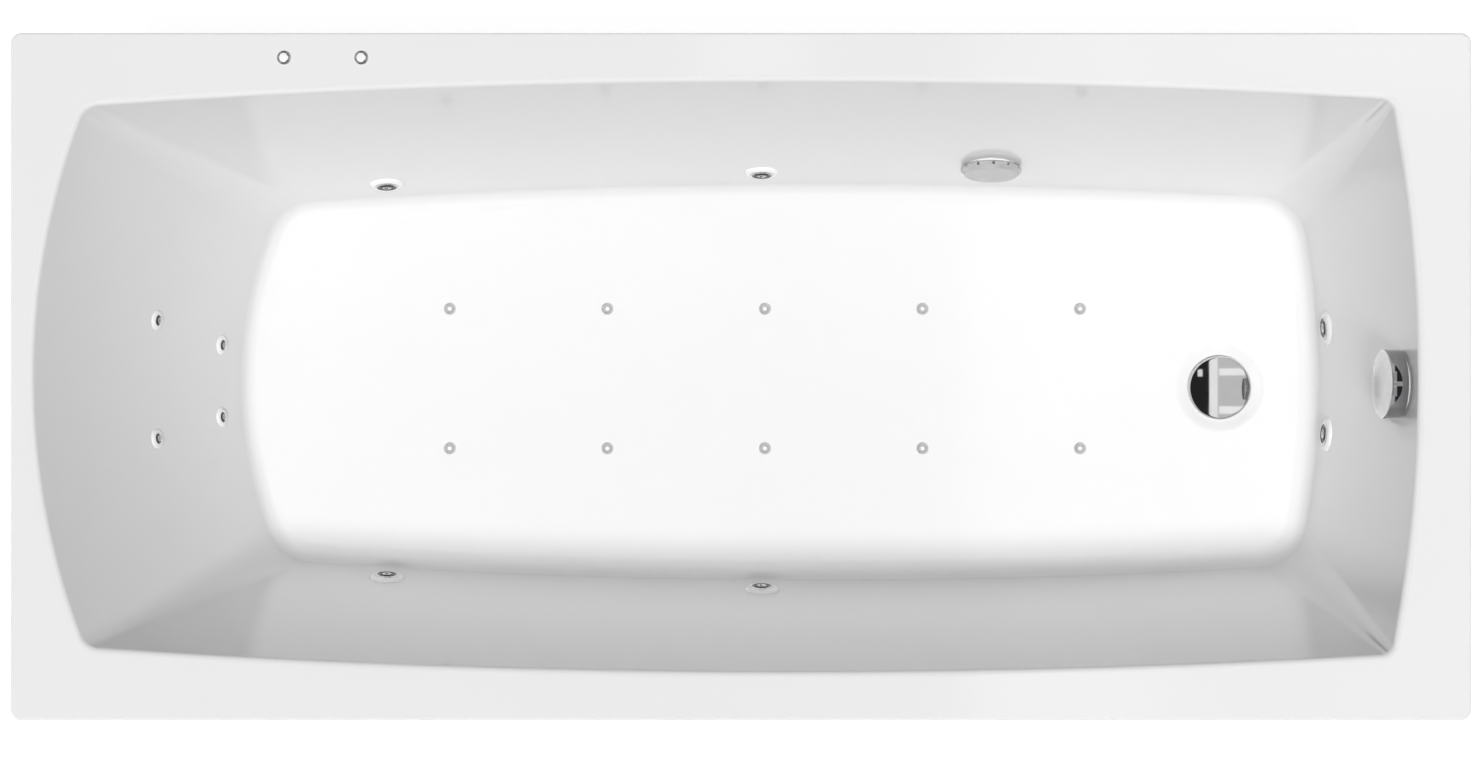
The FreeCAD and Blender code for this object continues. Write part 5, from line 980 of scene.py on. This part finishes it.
class BATH_OT_hoses(BathStep, Operator):
    """Makes the ribbed overflow hose, the lift cable and the buttons' air tubes"""
    bl_idname = "bath.hoses"
    bl_label = "Hoses and Cable"

    def build(self):
        sizes = fittings()
        low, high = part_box("overflow_hose")
        root, level = 0.0125, 0.112
        end, middle = high.x - 0.014, (low.y + high.y) / 2
        route = [(end, middle, high.z), (end, middle, 0.32), (end, middle, 0.2), (end, middle, level),
                 (high.x - 0.07, middle, level), (low.x, middle, level)]
        tree, source, sink = geometry_tree(
            "ribbed hose", ("Root Radius", FLOAT, root), ("Rib Pitch", FLOAT, sizes.rib_pitch),
            ("Rib Height", FLOAT, sizes.rib_height))
        step = math_node(tree, "DIVIDE", source["Rib Pitch"], 8)
        resample = add_node(tree, "GeometryNodeResampleCurve", {"Curve": source["Geometry"], "Length": step},
                            mode="LENGTH")
        along = tree.nodes.new("GeometryNodeSplineParameter").outputs["Length"]
        turns = math_node(tree, "DIVIDE", along, source["Rib Pitch"])
        wave = math_node(tree, "SINE", math_node(tree, "MULTIPLY", turns, 2 * math.pi))
        crest = math_node(tree, "MULTIPLY", math_node(tree, "ADD", wave, 1), 0.5)
        thick = math_node(tree, "ADD", source["Root Radius"],
                          math_node(tree, "MULTIPLY", crest, source["Rib Height"]))
        circle = add_node(tree, "GeometryNodeCurvePrimitiveCircle", {"Resolution": 32, "Radius": 1.0})
        tube = add_node(tree, "GeometryNodeCurveToMesh", {
            "Curve": resample.outputs["Curve"], "Profile Curve": circle.outputs["Curve"], "Scale": thick,
            "Fill Caps": True})
        finish_tree(tree, tube.outputs["Mesh"], source, sink)
        path = mesh_object("hose_route", smooth_route("hose_route", route))
        hose = grown("ribbed_hose", tree, {
            "Root Radius": root, "Rib Pitch": sizes.rib_pitch, "Rib Height": sizes.rib_height,
            "Finish": MATERIALS["grey_hose"]}, path)
        smooth_by_angle(hose, 60)
        dress(hose, "grey_hose")
        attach(hose, "bath")
        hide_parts("overflow_hose")
        self.cable("knob_cable", "lift_cable", 0.003)
        self.air_tubes()

    def air_tubes(self):
        """The buttons' air tubes, with a clip at each end."""
        low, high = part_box("button_tubes")
        middle, thick = (low.y + high.y) / 2, (high.y - low.y) / 2
        run = (high.z - low.z) * 1000
        bare, clip = thick * 1000, thick * 1000 + 1.2
        corners = ((0, 0), (bare, 0), (bare, 5), (clip, 5), (clip, 10), (bare, 10), (bare, run - 10),
                   (clip, run - 10), (clip, run - 5), (bare, run - 5), (bare, run), (0, run))
        places = [Matrix.Translation((x, middle, low.z)) for x in (low.x + thick, high.x - thick)]
        tubes = lathed("air_tubes", corners, places, "black_rubber", segments=32)
        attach(tubes, "bath")
        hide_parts("button_tubes")

    def cable(self, name, node, radius):
        low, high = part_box(node)
        y = (low.y + high.y) / 2
        end, level = high.x - radius, low.z + radius
        route = [(end, y, high.z), (end, y, 0.36), (end, y, 0.24), (end, y, level + 0.01),
                 (end - 0.02, y, level), (low.x + 0.03, y, level), (low.x, y, level)]
        data = smooth_route(name, route)
        data.bevel_depth = radius
        data.bevel_resolution = 5
        data.use_fill_caps = True
        piece = smooth_by_angle(as_mesh(mesh_object(name, data), name), 50)
        dress(piece, "black_rubber")
        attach(piece, "bath")
        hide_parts(node)


class BATH_OT_kept_parts(BathStep, Operator):
    """Finishes the pieces whose shape comes from the frame"""
    bl_idname = "bath.kept_parts"
    bl_label = "Finish the Frame's Pieces"

    def build(self):
        slots = {part["node"]: part["material_slot"] for part in frame["record"]["subparts"]}
        for name, piece in NODES.items():
            for index in range(len(piece.material_slots)):
                piece.material_slots[index].material = MATERIALS[slots[name]]


# ---- stage

def background(tree, colour, strength):
    return add_node(tree, "ShaderNodeBackground", {"Color": colour, "Strength": strength}).outputs[0]


def world_light(scene):
    """Plain pale surroundings: white behind the object, with dark and bright panels for gloss."""
    world = bpy.data.worlds.new("studio")
    scene.world = world
    world.use_nodes = True
    tree = world.node_tree
    tree.nodes.clear()
    rays = tree.nodes.new("ShaderNodeLightPath").outputs
    white = (1, 1, 1, 1)
    lit = shader_mix(tree, rays["Is Glossy Ray"], background(tree, white, 0.17),
                     background(tree, room_pattern(tree), 1.0))
    seen = math_node(tree, "MAXIMUM", rays["Is Camera Ray"], rays["Is Transmission Ray"])
    add_node(tree, "ShaderNodeOutputWorld", {
        "Surface": shader_mix(tree, seen, lit, background(tree, white, 1.0))})


# windows and walls of the room overhead, by direction: (x from, x to, y from, y to, brightness)
ROOM_PANELS = (
    (-0.35, 0.066, -0.60, 0.60, 0.02), (0.066, 0.122, -0.60, 0.60, 0.95), (0.122, 0.50, -0.60, 0.60, 0.60),
    (0.13, 0.50, 0.094, 0.14, 1.0), (0.13, 0.50, -0.16, -0.11, 1.0), (-0.012, 0.02, 0.088, 0.135, 0.8),
    (0.35, 0.70, -0.93, -0.12, 0.04), (0.35, 0.70, 0.12, 0.93, 0.04), (0.28, 0.36, -0.93, -0.64, 0.04),
    (0.28, 0.36, 0.64, 0.93, 0.04))


def room_pattern(tree):
    """Pale surroundings with dark, grey and bright panels overhead."""
    edge = 0.004
    place = tree.nodes.new("ShaderNodeTexCoord")
    x, y, z = add_node(tree, "ShaderNodeSeparateXYZ", {0: place.outputs["Generated"]}).outputs

    def within(value, low, high):
        above = remap(tree, value, low - edge, low + edge, 0.0, 1.0)
        below = remap(tree, value, high - edge, high + edge, 1.0, 0.0)
        return math_node(tree, "MULTIPLY", above, below)

    def laid_over(shade, mask, bright):
        gap = math_node(tree, "SUBTRACT", bright, shade)
        return math_node(tree, "ADD", shade, math_node(tree, "MULTIPLY", mask, gap))

    shade = 0.75
    for x_low, x_high, y_low, y_high, bright in ROOM_PANELS:
        mask = math_node(tree, "MULTIPLY", within(x, x_low, x_high), within(y, y_low, y_high))
        shade = laid_over(shade, mask, bright)
    return laid_over(shade, remap(tree, z, 0.02, 0.24, 1.0, 0.0), 0.9)


def stage_material():
    """A pale floor that reads white to the camera and keeps a soft shadow."""
    material, tree, shader, _ = finish("pale floor")
    shader.inputs["Base Color"].default_value = (0.9, 0.9, 0.9, 1)
    shader.inputs["Roughness"].default_value = 0.9
    rays = tree.nodes.new("ShaderNodeLightPath").outputs
    seen = rays["Is Camera Ray"]
    for kind in ("Is Glossy Ray", "Is Transmission Ray"):
        seen = math_node(tree, "MAXIMUM", seen, rays[kind])
    glow = add_node(tree, "ShaderNodeEmission", {"Strength": 1.12}).outputs[0]
    shown = shader_mix(tree, math_node(tree, "MULTIPLY", seen, 0.86), shader.outputs[0], glow)
    tree.links.new(shown, tree.nodes["Material Output"].inputs["Surface"])
    return material


def sky_light(name, strength, spread, towards):
    """A wide even light from one direction."""
    data = bpy.data.lights.new(name, "SUN")
    data.energy = strength
    data.angle = math.radians(spread)
    piece = bpy.data.objects.new(name, data)
    bpy.context.scene.collection.objects.link(piece)
    piece.rotation_euler = Vector(towards).to_track_quat("Z", "Y").to_euler()
    piece.visible_glossy = False
    return piece


class BATH_OT_stage(BathStep, Operator):
    """Sets the floor, the lights and the camera"""
    bl_idname = "bath.stage"
    bl_label = "Stage"

    CAMERA = (0.001, -0.061, 4.58)

    def build(self):
        scene = bpy.context.scene
        shape = bmesh.new()
        bmesh.ops.create_grid(shape, x_segments=2, y_segments=2, size=12)
        floor = from_bmesh("pale_floor", shape)
        floor.data.materials.append(stage_material())
        world_light(scene)
        sky_light("high_soft_light", 2.95, 12, (-0.03, -0.24, 1.0))
        data = bpy.data.cameras.new("camera")
        data.lens = 83.4
        data.sensor_width = 36
        data.shift_y = 0.034
        data.clip_end = 60
        camera = bpy.data.objects.new("camera", data)
        scene.collection.objects.link(camera)
        camera.location = self.CAMERA
        scene.camera = camera
        scene.view_settings.view_transform = "Standard"


class BATH_PT_pieces(Panel):
    """Shows the bath's build steps, sizes and colours in the sidebar"""
    bl_label = "Jetted Bathtub"
    bl_space_type = "VIEW_3D"
    bl_region_type = "UI"
    bl_category = "Bathtub"

    def draw(self, context):
        for operator in OPERATORS:
            self.layout.operator(operator.bl_idname)
        for group in (context.scene.bath_basin, context.scene.bath_fittings, context.scene.bath_finishes):
            box = self.layout.box()
            for name in group.bl_rna.properties.keys():
                if name not in ("rna_type", "name"):
                    box.prop(group, name)


OPERATORS = (BATH_OT_kept_parts, BATH_OT_skin, BATH_OT_water_jets, BATH_OT_back_jets, BATH_OT_air_jets,
             BATH_OT_waste, BATH_OT_buttons, BATH_OT_hoses, BATH_OT_stage)
GROUPS_OF_SIZES = {"bath_basin": BasinSizes, "bath_fittings": FittingSizes, "bath_finishes": Finishes}


def register():
    for kind in (*GROUPS_OF_SIZES.values(), *OPERATORS, BATH_PT_pieces):
        bpy.utils.register_class(kind)
    for name, kind in GROUPS_OF_SIZES.items():
        setattr(bpy.types.Scene, name, PointerProperty(type=kind))


def unregister():
    for name in GROUPS_OF_SIZES:
        delattr(bpy.types.Scene, name)
    for kind in (BATH_PT_pieces, *reversed(OPERATORS), *GROUPS_OF_SIZES.values()):
        bpy.utils.unregister_class(kind)


def main():
    register()
    make_materials()
    for operator in OPERATORS:
        getattr(bpy.ops.bath, operator.bl_idname.partition(".")[2])()


if __name__ == "__main__":
    main()
